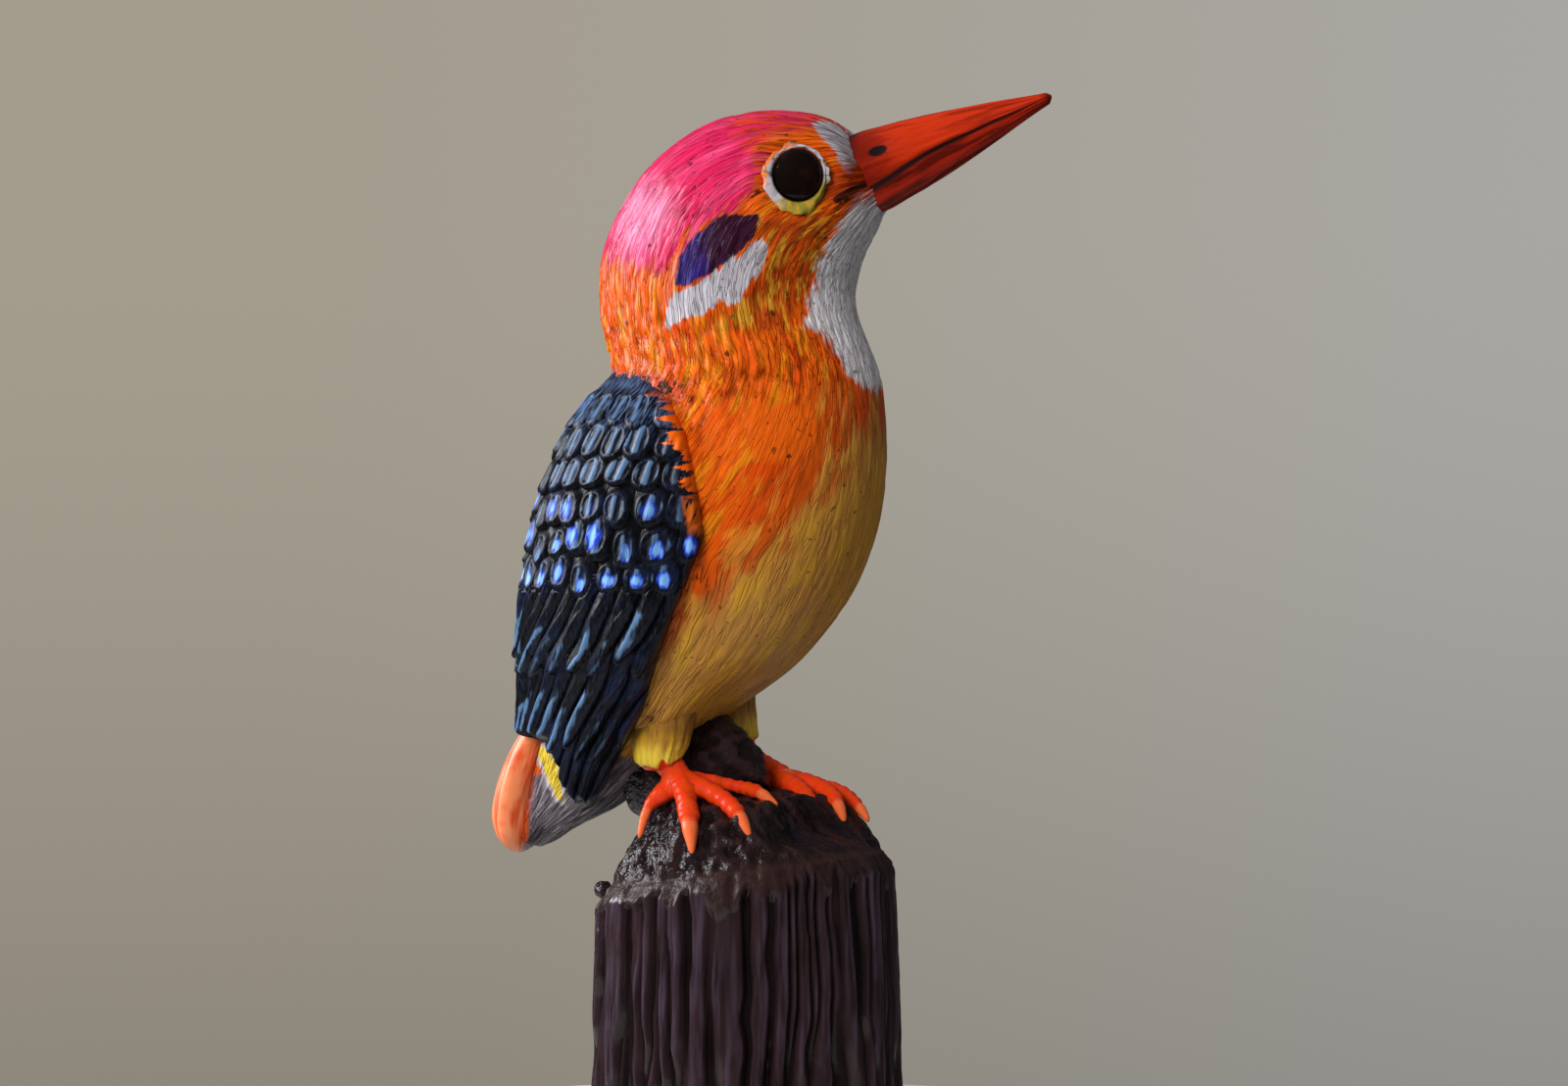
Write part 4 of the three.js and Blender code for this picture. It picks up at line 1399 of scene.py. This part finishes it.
    def shape(self, across: Array, along: Array) -> Cast:
        """The wing's outer face, with its rim rounded off and closed by a wedge inside the body.

        Args:
            across: each point's share round the piece, from 0 to 1.
            along: each point's share from end to end, from 0 to 1.

        Returns:
            The points and the paint's values.
        """
        columns, rows = across.shape[1], across.shape[0]
        over = np.clip((np.arange(columns) - 1) / (columns - 3), 0, 1)[None, :]
        down = np.clip((np.arange(rows) - 1) / (rows - 3), 0, 1)[:, None]
        bottom = np.interp(self.edge_start + self.edge_span * over, *np.array(self.lower_edge).T)
        bottom = bottom + 0.9 * np.abs(np.sin(over * 29)) * ease(over, 0, 0.1)
        height = self.top + (bottom - self.top) * down
        start, end = self.station(height, 4), self.station(height, 5)
        degrees = start + (end - start) * over
        angle = np.radians(degrees)
        girth = sum(self.station(np.maximum(height, self.girth_height), column) for column in (2, 3)) / 2
        lane = np.radians(degrees - self.midline) * girth
        found = self.plumage(lane, height)
        depth, half, centre = (self.station(height, column) for column in (2, 3, 1))
        width = np.radians(end - start) * (depth + half) / 2
        border = np.minimum(np.minimum(over * width, (1 - over) * width), height - bottom)
        border = np.minimum(border, (self.top - height) * 0.35)
        roll = np.sqrt(1 - (1 - np.clip(border / self.rim, 0, 1)) ** 2)
        lift = found["height"] * roll - 1.6 * (1 - roll)
        out = np.stack([np.cos(angle) / depth, np.sin(angle) / half, np.zeros_like(angle)], axis=-1)
        out /= np.linalg.norm(out, axis=-1, keepdims=True)
        points = np.stack([centre + depth * np.cos(angle), half * np.sin(angle), height], axis=-1)
        points = points + lift[..., None] * out
        root = np.array(self.wedge) + down * np.array(self.wedge_run)
        points[:, 0] = points[:, -1] = root
        points[0], points[-1] = root[0], root[-1]
        points[..., 1] *= self.side
        del found["height"]
        return Cast(points, {"across": lane, "along": height, "fore": over * width, **found})

    def build(self) -> None:
        """Casts and dresses the wing."""
        wing = cast(f"wing_{self.side.name.lower()}", self.columns, self.rows, self.shape)
        mount(wing, Part.BIRD, WingPaint().material())


# Tail and legs


@dataclass(frozen=True)
class TailPaint(Paint):
    """Orange paint, deeper in the grooves, and grey underneath."""

    name: str = "painted_tail"
    smooth: float = 0.36
    mottle: float = 0.2
    depth: float = 0.12
    gloss: float = 0.5
    coat: float = 0.2
    coat_roughness: float = 0.2

    def material(self) -> bpy.types.Material:
        """Mixes the tail's paint.

        Returns:
            The material.
        """
        g = self.graph()
        streak = g.grain(g.flow(1.0, 7.0), 1.0, 3.0)
        fine = g.grain(g.flow(0.35, 3.0, 4.0), 1.0, 2.0)
        colour = g.blend(Pigment.TAIL, Pigment.TAIL_DEEP, streak.step(0.42, 0.66))
        colour = colour.coat(Pigment.TAIL_DEEP, g.read("vane").step(0.2, 0.8) * 0.9)
        worn = g.read("share").step(0.9, 1.0) * fine.step(0.5, 0.7)
        colour = colour.coat(Pigment.TAIL_WORN, worn * 0.6)
        under = g.blend(Pigment.GREY, Pigment.SOOT, streak.step(0.4, 0.7))
        colour = colour.coat(under, (g.read("front") + (streak - 0.5) * 0.2).step(0.8, 0.95))
        return self.seal(g, colour, fine, streak * 0.6 + fine * 0.4, Coat_Weight=self.coat,
                         Coat_Roughness=self.coat_roughness)


@dataclass
class Tail:
    """The short thick tail, a rounded paddle with a groove on each side of its middle vane."""

    root: tuple[float, float, float] = (-29.8, 0.0, 68.0)
    end: tuple[float, float, float] = (-33.6, 0.0, 50.4)
    bulge: float = 1.2
    half_width: float = 5.8
    half_depth: float = 3.2
    groove: float = 0.6
    columns: int = 160
    rows: int = 130

    def shape(self, across: Array, along: Array) -> Cast:
        """The paddle's points and paint.

        Args:
            across: each point's share round the piece, from 0 to 1.
            along: each point's share from end to end, from 0 to 1.

        Returns:
            The points and the paint's values.
        """
        share = 0.5 - 0.5 * np.cos(np.pi * along)
        turn = 2 * np.pi * across - np.pi
        root, end = np.array(self.root), np.array(self.end)
        length = end - root
        back = np.array([length[2], 0, -length[0]]) / np.linalg.norm(length)
        swell = 0.62 + 0.38 * np.sin(np.minimum(1, share * 1.35) * np.pi / 2)
        tip = np.sqrt(np.maximum(0, 1 - np.maximum(0, (share - 0.68) / 0.32) ** 2.2))
        top = np.sqrt(np.clip(share / 0.05, 0, 1))
        side = np.sin(turn)
        vane = mound(np.abs(side) - 0.86, 0.07) * ease(np.cos(turn), 0, 0.2)
        depth = self.half_depth * np.cos(turn) - self.groove * vane * ease(share, 0.15, 0.5)
        brush = 0.1 * ripple(side * 7, share * 3, 61) + 0.05 * ripple(side * 18, share * 6, 62)
        out = depth * swell * tip * top + self.bulge * np.sin(share * np.pi) + brush * tip
        points = root + share[..., None] * length + out[..., None] * back
        points[..., 1] += self.half_width * swell * tip * top * side
        return Cast(points, {"across": side * 6, "along": share * 18, "vane": vane, "share": share,
                             "front": -np.cos(turn)})

    def build(self) -> None:
        """Casts and dresses the tail."""
        paddle = cast("tail_paddle", self.columns, self.rows, self.shape)
        mount(paddle, Part.BIRD, TailPaint().material())


Path = tuple[tuple[float, float, float, float], ...]


@dataclass(frozen=True)
class LegPaint(Paint):
    """Ochre thigh, red-orange toes and paler claws."""

    smooth: float = 0.24
    mottle: float = 0.16
    depth: float = 0.14
    gloss: float = 0.4

    def material(self) -> bpy.types.Material:
        """Mixes the leg's paint.

        Returns:
            The material.
        """
        g = self.graph()
        streak = g.grain(g.flow(0.8, 3.0), 1.0, 2.0)
        fine = g.grain(g.place(), 900.0, 2.0)
        thigh = g.blend(Pigment.OCHRE, Pigment.YELLOW, streak.step(0.4, 0.65))
        lemon = 1 - (g.read("low") + (streak - 0.5) * 4).step(0.9, 3.6)
        thigh = thigh.coat(Pigment.LEMON, lemon * 0.9)
        tuft = g.read("tuft").step(-0.6, 0.0)
        # Painted shade in the thigh's tuft grooves.
        thigh = thigh.coat(thigh.dim(0.5), (1 - tuft) * 0.7)
        thigh = thigh.coat(thigh.dim(0.6), g.read("low").step(1.5, 4.5))
        # Painted shade along the hair-thin grooves.
        thigh = thigh.coat(thigh.dim(0.5), (1 - g.hairs()) * 0.3)
        claw = (g.read("claw") + (fine - 0.5) * 0.05).step(0.66, 0.72)
        toe = g.blend(Pigment.TOE, Pigment.RED_ORANGE, fine.step(0.4, 0.6))
        toe = toe.coat(Pigment.CLAW, claw)
        colour = toe.coat(thigh, g.read("thigh").step(0.3, 0.7))
        return self.seal(g, colour, fine, streak * 0.5 + fine * 0.5)


@dataclass
class Leg:
    """One feathered thigh and the foot below it, melted from tapering limbs."""

    name: str
    thigh: Path
    toes: tuple[Path, ...]
    ankle_height: float
    columns: int = 40
    rows: int = 60
    voxel: float = 0.24
    passes: int = 5

    @staticmethod
    def limb(path: Path) -> Shape:
        """A round limb along a path of x, y, z and radius."""

        def shape(across: Array, along: Array) -> Cast:
            """The limb's points, each ring square to the path and both ends rounded.

            Args:
                across: each point's share round the limb.
                along: each point's share from end to end.

            Returns:
                The points.
            """
            line = spline(path, along[:, 0])
            centre, radius = line[:, :3], line[:, 3]
            ends = np.minimum(along[:, 0], 1 - along[:, 0]) / 0.06
            radius = radius * np.sqrt(1 - (1 - np.clip(ends, 0, 1)) ** 2)
            tangent = np.gradient(centre, axis=0)
            tangent /= np.maximum(np.linalg.norm(tangent, axis=1, keepdims=True), 1e-9)
            first = np.cross(tangent, [0.31, 0.87, 0.38])
            first /= np.linalg.norm(first, axis=1, keepdims=True)
            second = np.cross(tangent, first)
            turn = 2 * np.pi * across
            points = (centre[:, None, :] + (radius[:, None] * np.cos(turn))[..., None] * first[:, None, :]
                      + (radius[:, None] * np.sin(turn))[..., None] * second[:, None, :])
            return Cast(points, {})

        return shape

    def rough_out(self, places: Array, normals: Array) -> Cast:
        """Adds the leg's tufts and scales, and paints thigh, toes and claws by their places.

        Args:
            places: the melted skin's points.
            normals: their normals.

        Returns:
            The points and the paint's values.
        """
        nearest = np.full(len(places), np.inf)
        claw = np.zeros(len(places))
        share = np.linspace(0, 1, 40)
        for path in self.toes:
            line = spline(path, share)
            gap = np.linalg.norm(places[:, None, :] - line[None, :, :3], axis=2) - line[None, :, 3]
            best = gap.argmin(axis=1)
            closer = gap.min(axis=1) < nearest
            nearest = np.where(closer, gap.min(axis=1), nearest)
            claw = np.where(closer, share[best], claw)
        top = places[:, 2] - self.ankle_height
        turn = np.arctan2(places[:, 1] - self.thigh[-1][1], places[:, 0] - self.thigh[-1][0])
        ragged = 0.8 * ripple(turn * 3.5, places[:, 2] * 0, 81)
        is_thigh = ease(top + ragged, -0.25, 0.25) * ease(nearest, 0.1, 0.5)
        tufts = Body.barbs(turn * 4, places[:, 2], 1.0, 3.0, 83)
        scutes = 0.07 * np.cos(claw * 60) * ease(claw, 0.05, 0.2) * (1 - ease(claw, 0.66, 0.72))
        nail = mound(claw - 0.7, 0.03)
        knobs = 0.12 * ripple(places[:, 0] / 1.1 + places[:, 2], places[:, 1] / 1.1, 85)
        low = 1 - ease(top, 2.0, 7.0)
        lift = is_thigh * (0.2 * tufts * low + 0.05 + 0.35 * mound(top, 0.9)) + (1 - is_thigh) * (
            scutes + knobs * (1 - ease(claw, 0.6, 0.75)) - 0.1 * nail)
        paint = {"thigh": is_thigh, "claw": claw, "across": turn * 4, "along": places[:, 2], "tuft": tufts,
                 "low": top}
        return Cast(places + lift[:, None] * normals, paint)

    def build(self) -> None:
        """Melts, roughs out and dresses the leg."""
        limbs = [cast(f"{self.name}.limb", self.columns, self.rows, self.limb(path))
                 for path in (self.thigh, *self.toes)]
        leg = melt(self.name, limbs, self.voxel, self.passes)
        rework(leg, self.rough_out)
        mount(leg, Part.BIRD, LegPaint(f"painted_{self.name}").material())


RIGHT_LEG = Leg(
    "leg_right",
    ((-6.0, -6.0, 79, 5.6), (-7.9, -8.1, 72, 4.4), (-8.7, -8.9, 66.6, 3.7), (-8.4, -8.8, 63.4, 2.1)),
    (((-8.4, -8.8, 65, 1.6), (-6.2, -8.7, 62.4, 1.9), (-9.3, -11.0, 58.7, 0.9), (-10.1, -12.8, 54.4, 0.35)),
     ((-6.4, -8.7, 62.6, 1.8), (-4.2, -11.0, 60.5, 1.5), (-2.4, -13.9, 57.4, 1.35),
      (-1.0, -16.3, 53.0, 0.35)),
     ((-6.4, -8.6, 62.4, 1.7), (0, -9.8, 60.3, 1.25), (3.6, -11.5, 58.2, 1.1), (5.9, -12.9, 55.4, 0.4)),
     ((-6.2, -8.2, 62.3, 1.5), (0.5, -5.4, 61.3, 0.85), (4.1, -5.2, 60.5, 0.95), (7.4, -6.1, 58.8, 0.35))),
    64.6)
LEFT_LEG = Leg(
    "leg_left",
    ((-5.8, 7.0, 77, 5.0), (-5.0, 8.1, 71, 3.6), (-3.9, 8.0, 67.4, 2.8), (-3.2, 8.0, 65.2, 1.8)),
    (((-3.4, 8.0, 65.6, 1.7), (-1.0, 7.8, 63.0, 1.9), (3.1, 6.6, 61.0, 2.1), (5.2, 6.2, 60.6, 1.6)),
     ((2.6, 6.4, 61.0, 1.7), (6.4, 3.8, 60.3, 1.4), (9.2, 1.4, 58.5, 1.1), (10.3, 0.2, 55.4, 0.35)),
     ((3.2, 6.8, 61.0, 1.8), (8.6, 6.0, 60.3, 1.4), (12.2, 3.7, 58.6, 1.05), (13.9, 2.4, 56.0, 0.35)),
     ((3.2, 7.4, 60.9, 1.6), (10.3, 8.6, 59.5, 1.2), (13.8, 7.6, 57.8, 0.95), (16.0, 6.6, 55.7, 0.35)),
     ((-1.2, 8.2, 62.9, 1.5), (-4.8, 10.4, 60.6, 0.9), (-7.8, 12.2, 56.2, 0.4))),
    67.0)


# The stump


@dataclass(frozen=True)
class BarkPaint(Paint):
    """Dark brown paint with a painted violet sheen on the ribs' crests and painted shade in their grooves,
    glossy on the ribs.
    """

    name: str = "painted_bark"
    smooth: float = 0.16
    mottle: float = 0.1
    depth: float = 0.3
    gloss: float = 0.42

    def material(self) -> bpy.types.Material:
        """Mixes the bark's paint.

        Returns:
            The material.
        """
        g = self.graph()
        streak = g.grain(g.flow(0.9, 9.0), 1.0, 3.0)
        fine = g.grain(g.place(), 1400.0, 3.0)
        broad = g.grain(g.place(), 110.0, 2.0)
        bark, pits = g.read("bark"), g.read("pits")
        colour = g.blend(Pigment.BARK, Pigment.BARK_DARK, broad.step(0.45, 0.7) * 0.5)
        # Painted sheen: violet-grey on the ribs' crests.
        colour = colour.coat(Pigment.BARK_BLOOM, bark.step(0.0, 0.9) * streak.step(0.35, 0.65) * 0.6)
        # Painted shade: near-black in the bark's grooves.
        colour = colour.coat(Pigment.BARK_DARK, (1 - bark.step(-0.75, -0.2)) * 0.9)
        colour = colour.coat(Pigment.BARK_BARE, g.read("smooth") * 0.6)
        ink = g.blend(Pigment.BARK_DARK, Pigment.NAVY, broad.step(0.5, 0.7) * 0.2)
        crust = g.read("crust")
        colour = colour.coat(ink, crust * (1 - pits.step(-0.25, 0.3)) * 0.8)
        glint = g.grain(g.place(), 1300.0, 2.0)
        dab = crust + g.read("smooth") * 0.5
        rough = self.smooth + self.mottle * fine.step(0.35, 0.75) + 0.08 * crust + 0.3 * g.read("smooth")
        bump = streak * (1 - crust) * 0.2 + fine * 0.06 + glint * dab * 1.6
        return g.finish(colour, rough, bump, self.depth, Specular_IOR_Level=self.gloss)


@dataclass(frozen=True)
class Knoll:
    """A rough rounded lump of wood."""

    name: str
    centre: tuple[float, float, float]
    size: tuple[float, float, float]
    rough: float
    columns: int
    rows: int

    def shape(self, across: Array, along: Array) -> Cast:
        """The lump's points and paint.

        Args:
            across: each point's share round the piece, from 0 to 1.
            along: each point's share from end to end, from 0 to 1.

        Returns:
            The points and the paint's values.
        """
        turn, rise = 2 * np.pi * across, np.pi * along
        unit = np.stack([np.sin(rise) * np.cos(turn), np.sin(rise) * np.sin(turn), -np.cos(rise)], axis=-1)
        x, y, z = unit[..., 0], unit[..., 1], unit[..., 2]
        pits = ripple(x * self.size[0] / 1.3, z * self.size[2] / 1.3 + y * 2.3, 111)
        swell = 1 + self.rough * (0.5 * pits + 0.7 * ripple(x * 3, z * 3 + y, 112))
        points = np.array(self.centre) + unit * np.array(self.size) * swell[..., None]
        zero = np.zeros_like(turn)
        return Cast(points, {"across": turn * 4, "along": points[..., 2], "bark": zero, "crust": zero + 1,
                             "pits": pits, "smooth": zero})


@dataclass
class Stump:
    """The bark-covered post with its leaning rim, the pitted mound on top and the lump under the belly."""

    columns: int = 520
    rows: int = 188
    base_radius: float = 21.9
    rim_radius: float = 19.6
    rim_height: float = 49.6
    # The wall's heights and radii.
    wall: tuple[tuple[float, float], ...] = ((0, 21.9), (18, 21.0), (42, 20.2), (49.6, 19.6))
    shift: float = 0.5
    lean: tuple[float, float] = (0.165, -0.05)
    knolls: tuple[Knoll, ...] = (
        Knoll("stump_lump", (-7.8, 0.0, 62.5), (11.2, 6.0, 8.5), 0.09, 160, 120),
        Knoll("stump_knob", (-18.4, -5.2, 46.3), (1.3, 1.2, 1.2), 0.12, 40, 30))
    mound_top: float = 60.2
    mound_rings: tuple[tuple[float, float], ...] = (
        (19.6, 0.0), (17.8, 0.16), (15.8, 0.42), (13.8, 0.74), (11.6, 0.93), (7.0, 0.99), (0.0, 1.0))
    mound_outline: tuple[tuple[float, float], ...] = (
        (-180, 0.98), (-100, 1.0), (-66, 0.9), (-36, 0.72), (-3, 0.68), (10, 0.9), (22, 1.08), (70, 1.0),
        (180, 0.98))

    @staticmethod
    def bark(turn: Array, height: Array) -> Array:
        """The bark's relief: ribs of several widths, with drips and nicks.

        Args:
            turn: the angle round the post.
            height: the height.

        Returns:
            The relief, from about -1 to 1.
        """
        share = turn / (2 * np.pi)
        sway = 0.35 * ripple(share * 14, height / 12, 91, 14) + 0.16 * ripple(share * 40, height / 4, 92, 40)
        ribs = ease(np.abs(ripple(share * 82 + 1.3 * sway, height / 42, 193, 82)), 0.0, 0.46)
        slim = ease(np.abs(ripple(share * 150 + 2 * sway, height / 16, 94, 150)), 0.0, 0.5)
        broad = ripple(share * 30 + sway, height / 26, 96, 30)
        drips = ripple(share * 90 + sway, height / 5, 95, 90)
        return 1.35 * ribs + 0.3 * slim + 0.3 * broad + 0.16 * drips - 1.0

    def shape(self, across: Array, along: Array) -> Cast:
        """The post's points and paint.

        Args:
            across: each point's share round the piece, from 0 to 1.
            along: each point's share from end to end, from 0 to 1.

        Returns:
            The points and the paint's values.
        """
        turn = 2 * np.pi * across + np.pi / 2
        level = along * 100
        # The levels at the wall's foot, at its rim and at the mound's middle.
        foot, side, top = 8.0, 62.0, 100.0
        table = np.array(self.mound_rings)
        rise_share = np.clip((level - side) / (top - side), 0, 1)
        radius_top = self.rim_radius * (1 - rise_share)
        rise = np.interp(radius_top, table[::-1, 0], table[::-1, 1])
        rise = (rise + np.interp(radius_top + 0.8, table[::-1, 0], table[::-1, 1])) / 2 * (rise_share > 0)
        under = np.clip(level / foot, 0, 1)
        climb = np.clip((level - foot) / (side - foot), 0, 1)
        height = self.rim_height * climb
        wall = np.interp(height, *np.array(self.wall).T)
        radius = np.where(level < foot, self.base_radius * under, np.where(level < side, wall, radius_top))
        degrees = (np.degrees(turn) + 180) % 360 - 180
        outline = np.interp(degrees, *np.array(self.mound_outline).T)
        flat = np.zeros_like(turn)
        edge_wave = 1.2 * ring_ripple(turn, flat, 97, 9) + 1.6 * ring_ripple(turn, flat, 98, 58)
        below = self.rim_height - height - 1.6 - edge_wave
        barked = ease(below, -0.4, 1.2) * ease(climb, 0.0, 0.02) * (level < side)
        edge = np.where(level < side, self.rim_height - height, self.rim_radius - radius_top)
        corner = 1 - ease(edge, 0, 2.6)
        bark = self.bark(turn, height)
        x0, y0 = np.cos(turn), np.sin(turn)
        flat_x, flat_y = radius * x0, radius * y0
        pits = 0.6 * ripple(flat_x / 1.15 + rise * 5, flat_y / 1.15 + rise * 3, 101)
        pits = pits + 0.4 * ripple(flat_x / 0.75 + rise * 9, flat_y / 0.75, 102)
        lumps = 0.7 * ripple(flat_x / 3.4 + rise * 2, flat_y / 3.4, 103)
        lumps = lumps + 0.7 * ripple(flat_x / 1.9, flat_y / 1.9 + rise * 4, 105)
        crust = ease(rise, 0.0, 0.16)
        lip = mound(below, 1.1) * 0.35 * (level >= foot)
        size = radius * (1 + (outline - 1) * np.clip(rise / 0.4, 0, 1))
        size = size + 0.8 * barked * (bark - 0.2) + lip - 0.8 * corner
        size = size + crust * (0.6 * lumps + 0.45 * pits) * np.clip(radius / 4, 0, 1)
        dabs = ring_ripple(turn, height / 2.2, 104, 60) + ring_ripple(turn, rise * 9, 106, 120)
        size = size + 0.3 * (1 - barked) * (1 - 0.5 * crust) * dabs * (level > foot)
        size = np.where(level < foot, self.base_radius * under, size)
        x, y = size * x0, size * y0
        tilt = ease(height, 36, self.rim_height)
        lift = tilt * (self.lean[0] * x + self.lean[1] * y)
        rim = height + lift * (height / self.rim_height)
        z = np.where(rise > 0, rim + (self.mound_top - rim) * rise, rim)
        z = z - 0.4 * corner + crust * (0.35 * pits + 0.25 * lumps * np.clip(radius / 3, 0, 1))
        z = np.where(level <= foot, 0, z)
        slide = self.shift * (1 - rise) * (height > 0)
        points = np.stack([x + slide, y, z], axis=-1)
        return Cast(points, {"across": turn * 21, "along": height, "bark": bark * barked, "crust": crust,
                             "pits": pits * crust, "smooth": (1 - barked) * (1 - crust)})

    def build(self) -> None:
        """Casts and dresses the stump's pieces."""
        finish = BarkPaint().material()
        mount(cast("stump_post", self.columns, self.rows, self.shape), Part.STUMP, finish)
        for knoll in self.knolls:
            mount(cast(knoll.name, knoll.columns, knoll.rows, knoll.shape), Part.STUMP, finish)


# The studio


@dataclass(frozen=True)
class TablePaint:
    """The pale table top, nearly matt."""

    name: str = "pale_table"
    roughness: float = 0.55
    depth: float = 0.05

    def material(self) -> bpy.types.Material:
        """Mixes the table's paint.

        Returns:
            The material.
        """
        g = Graph(bpy.data.materials.new(self.name))
        grain = g.grain(g.place(), 60.0, 3.0)
        return g.finish(g.blend(Pigment.TABLE, Pigment.TABLE_SHADE, grain), self.roughness, grain, self.depth)


@dataclass(frozen=True)
class Lamp:
    """A soft rectangular light, aimed at the bird: its place from there, its size and its power."""

    name: str
    right: float
    toward: float
    up: float
    width: float
    height: float
    power: float
    colour: Colour = (1.0, 1.0, 1.0)
    is_mirrored: bool = True


@dataclass
class Studio:
    """The floor, the lights, the grey-beige surroundings and the camera."""

    floor_radius: float = 112.0
    floor_thickness: float = 6.0
    floor_bevel: float = 1.2
    # The wall behind the bird and the room that lights it, each on the window's side and on the other.
    wall: tuple[Light, Light] = ((0.366, 0.330, 0.268, 1.0), (0.388, 0.380, 0.356, 1.0))
    room: tuple[Light, Light] = ((0.34, 0.34, 0.35, 1.0), (0.23, 0.225, 0.22, 1.0))
    # The point that the lamps are aimed at, in metres.
    target: tuple[float, float, float] = (0.0, 0.0, 0.1)
    lamps: tuple[Lamp, ...] = (
        Lamp("window", -610, -120, 230, 460, 330, 5.0, (0.97, 0.98, 1.0)),
        Lamp("room", -430, 700, 360, 420, 380, 6.6, (1.0, 0.98, 0.95), False),
    )

    def floor(self) -> None:
        """A plain pale disc under the stump."""
        bm = bmesh.new()
        bmesh.ops.create_circle(bm, cap_ends=True, segments=128, radius=self.floor_radius * MM)
        made = bmesh.ops.extrude_face_region(bm, geom=bm.faces[:])
        verts = [item for item in made["geom"] if isinstance(item, bmesh.types.BMVert)]
        bmesh.ops.translate(bm, verts=verts, vec=(0, 0, -self.floor_thickness * MM))
        rims = [edge for edge in bm.edges if len(edge.link_faces) == 2 and edge.calc_face_angle(0) > 1.2]
        bmesh.ops.bevel(bm, geom=rims, offset=self.floor_bevel * MM, segments=4, affect="EDGES", profile=0.5,
                        material=-1)
        bmesh.ops.recalc_face_normals(bm, faces=bm.faces)
        floor = add_object("floor", settle(bm, "floor"))
        floor.data.materials.append(TablePaint().material())

    def surroundings(self) -> bpy.types.World:
        """A grey-beige wall behind the bird, in a dimmer room that is lighter on the window's side.

        Returns:
            The world.
        """
        g = Graph(bpy.data.worlds.new("studio"))
        right, _, _ = VIEW.axes()
        way = g.node("ShaderNodeTexCoord", {}, {}, "Generated")
        aside = g.node("ShaderNodeVectorMath", {"operation": "DOT_PRODUCT"}, {0: way, 1: tuple(right)},
                       "Value")
        high = g.node("ShaderNodeSeparateXYZ", {}, {0: way}, "Z")
        wall = g.blend(*self.wall, aside.step(-0.15, 0.25))
        wall = wall.dim(high.step(-0.3, 0.06) * 0.38 + 0.64)
        room = g.blend(*self.room, aside.step(-0.9, 0.6))
        gloss = g.node("ShaderNodeLightPath", {}, {}, "Is Glossy Ray")
        room = room.dim((high.step(-0.6, 0.9) * 0.8 + 0.5) * (1 - gloss * 0.75))
        camera = g.node("ShaderNodeLightPath", {}, {}, "Is Camera Ray")
        light = g.node("ShaderNodeBackground", {}, {"Color": room.coat(wall, camera), "Strength": 1.0})
        g.end("ShaderNodeOutputWorld", light)
        return g.block

    def light(self) -> None:
        """The lamps and the surroundings."""
        right, _, forward = VIEW.axes()
        target = Vector(self.target)
        for lamp in self.lamps:
            data = bpy.data.lights.new(lamp.name, "AREA")
            data.shape = "RECTANGLE"
            data.size, data.size_y = lamp.width * MM, lamp.height * MM
            data.energy = lamp.power
            data.color = lamp.colour
            made = add_object(lamp.name, data)
            made.visible_glossy = lamp.is_mirrored
            offset = right * lamp.right - forward * lamp.toward + np.array([0, 0, lamp.up])
            made.location = target + Vector(offset * MM)
            made.rotation_euler = (target - made.location).to_track_quat("-Z", "Y").to_euler()
        bpy.context.scene.world = self.surroundings()

    def camera(self) -> None:
        """The portrait's camera."""
        data = bpy.data.cameras.new("portrait")
        data.lens, data.sensor_width = VIEW.lens, VIEW.sensor
        data.clip_start = 10 * MM
        made = add_object("portrait", data)
        made.location = Vector(VIEW.place() * MM)
        _, _, forward = VIEW.axes()
        made.rotation_euler = Vector(forward).to_track_quat("-Z", "Y").to_euler()
        bpy.context.scene.camera = made

    def build(self) -> None:
        """Sets up the studio."""
        self.floor()
        self.light()
        self.camera()
        bpy.context.scene.view_settings.view_transform = "Standard"


def main() -> None:
    """Builds the studio, the bird and the stump."""
    logging.basicConfig(level=logging.INFO, format="%(message)s")
    sides = [assembly(side) for side in Side for assembly in (Wing, Eye)]
    for assembly in (Studio(), Stump(), Body(), Bill(), Tail(), RIGHT_LEG, LEFT_LEG, *sides):
        assembly.build()


if __name__ == "__main__":
    main()
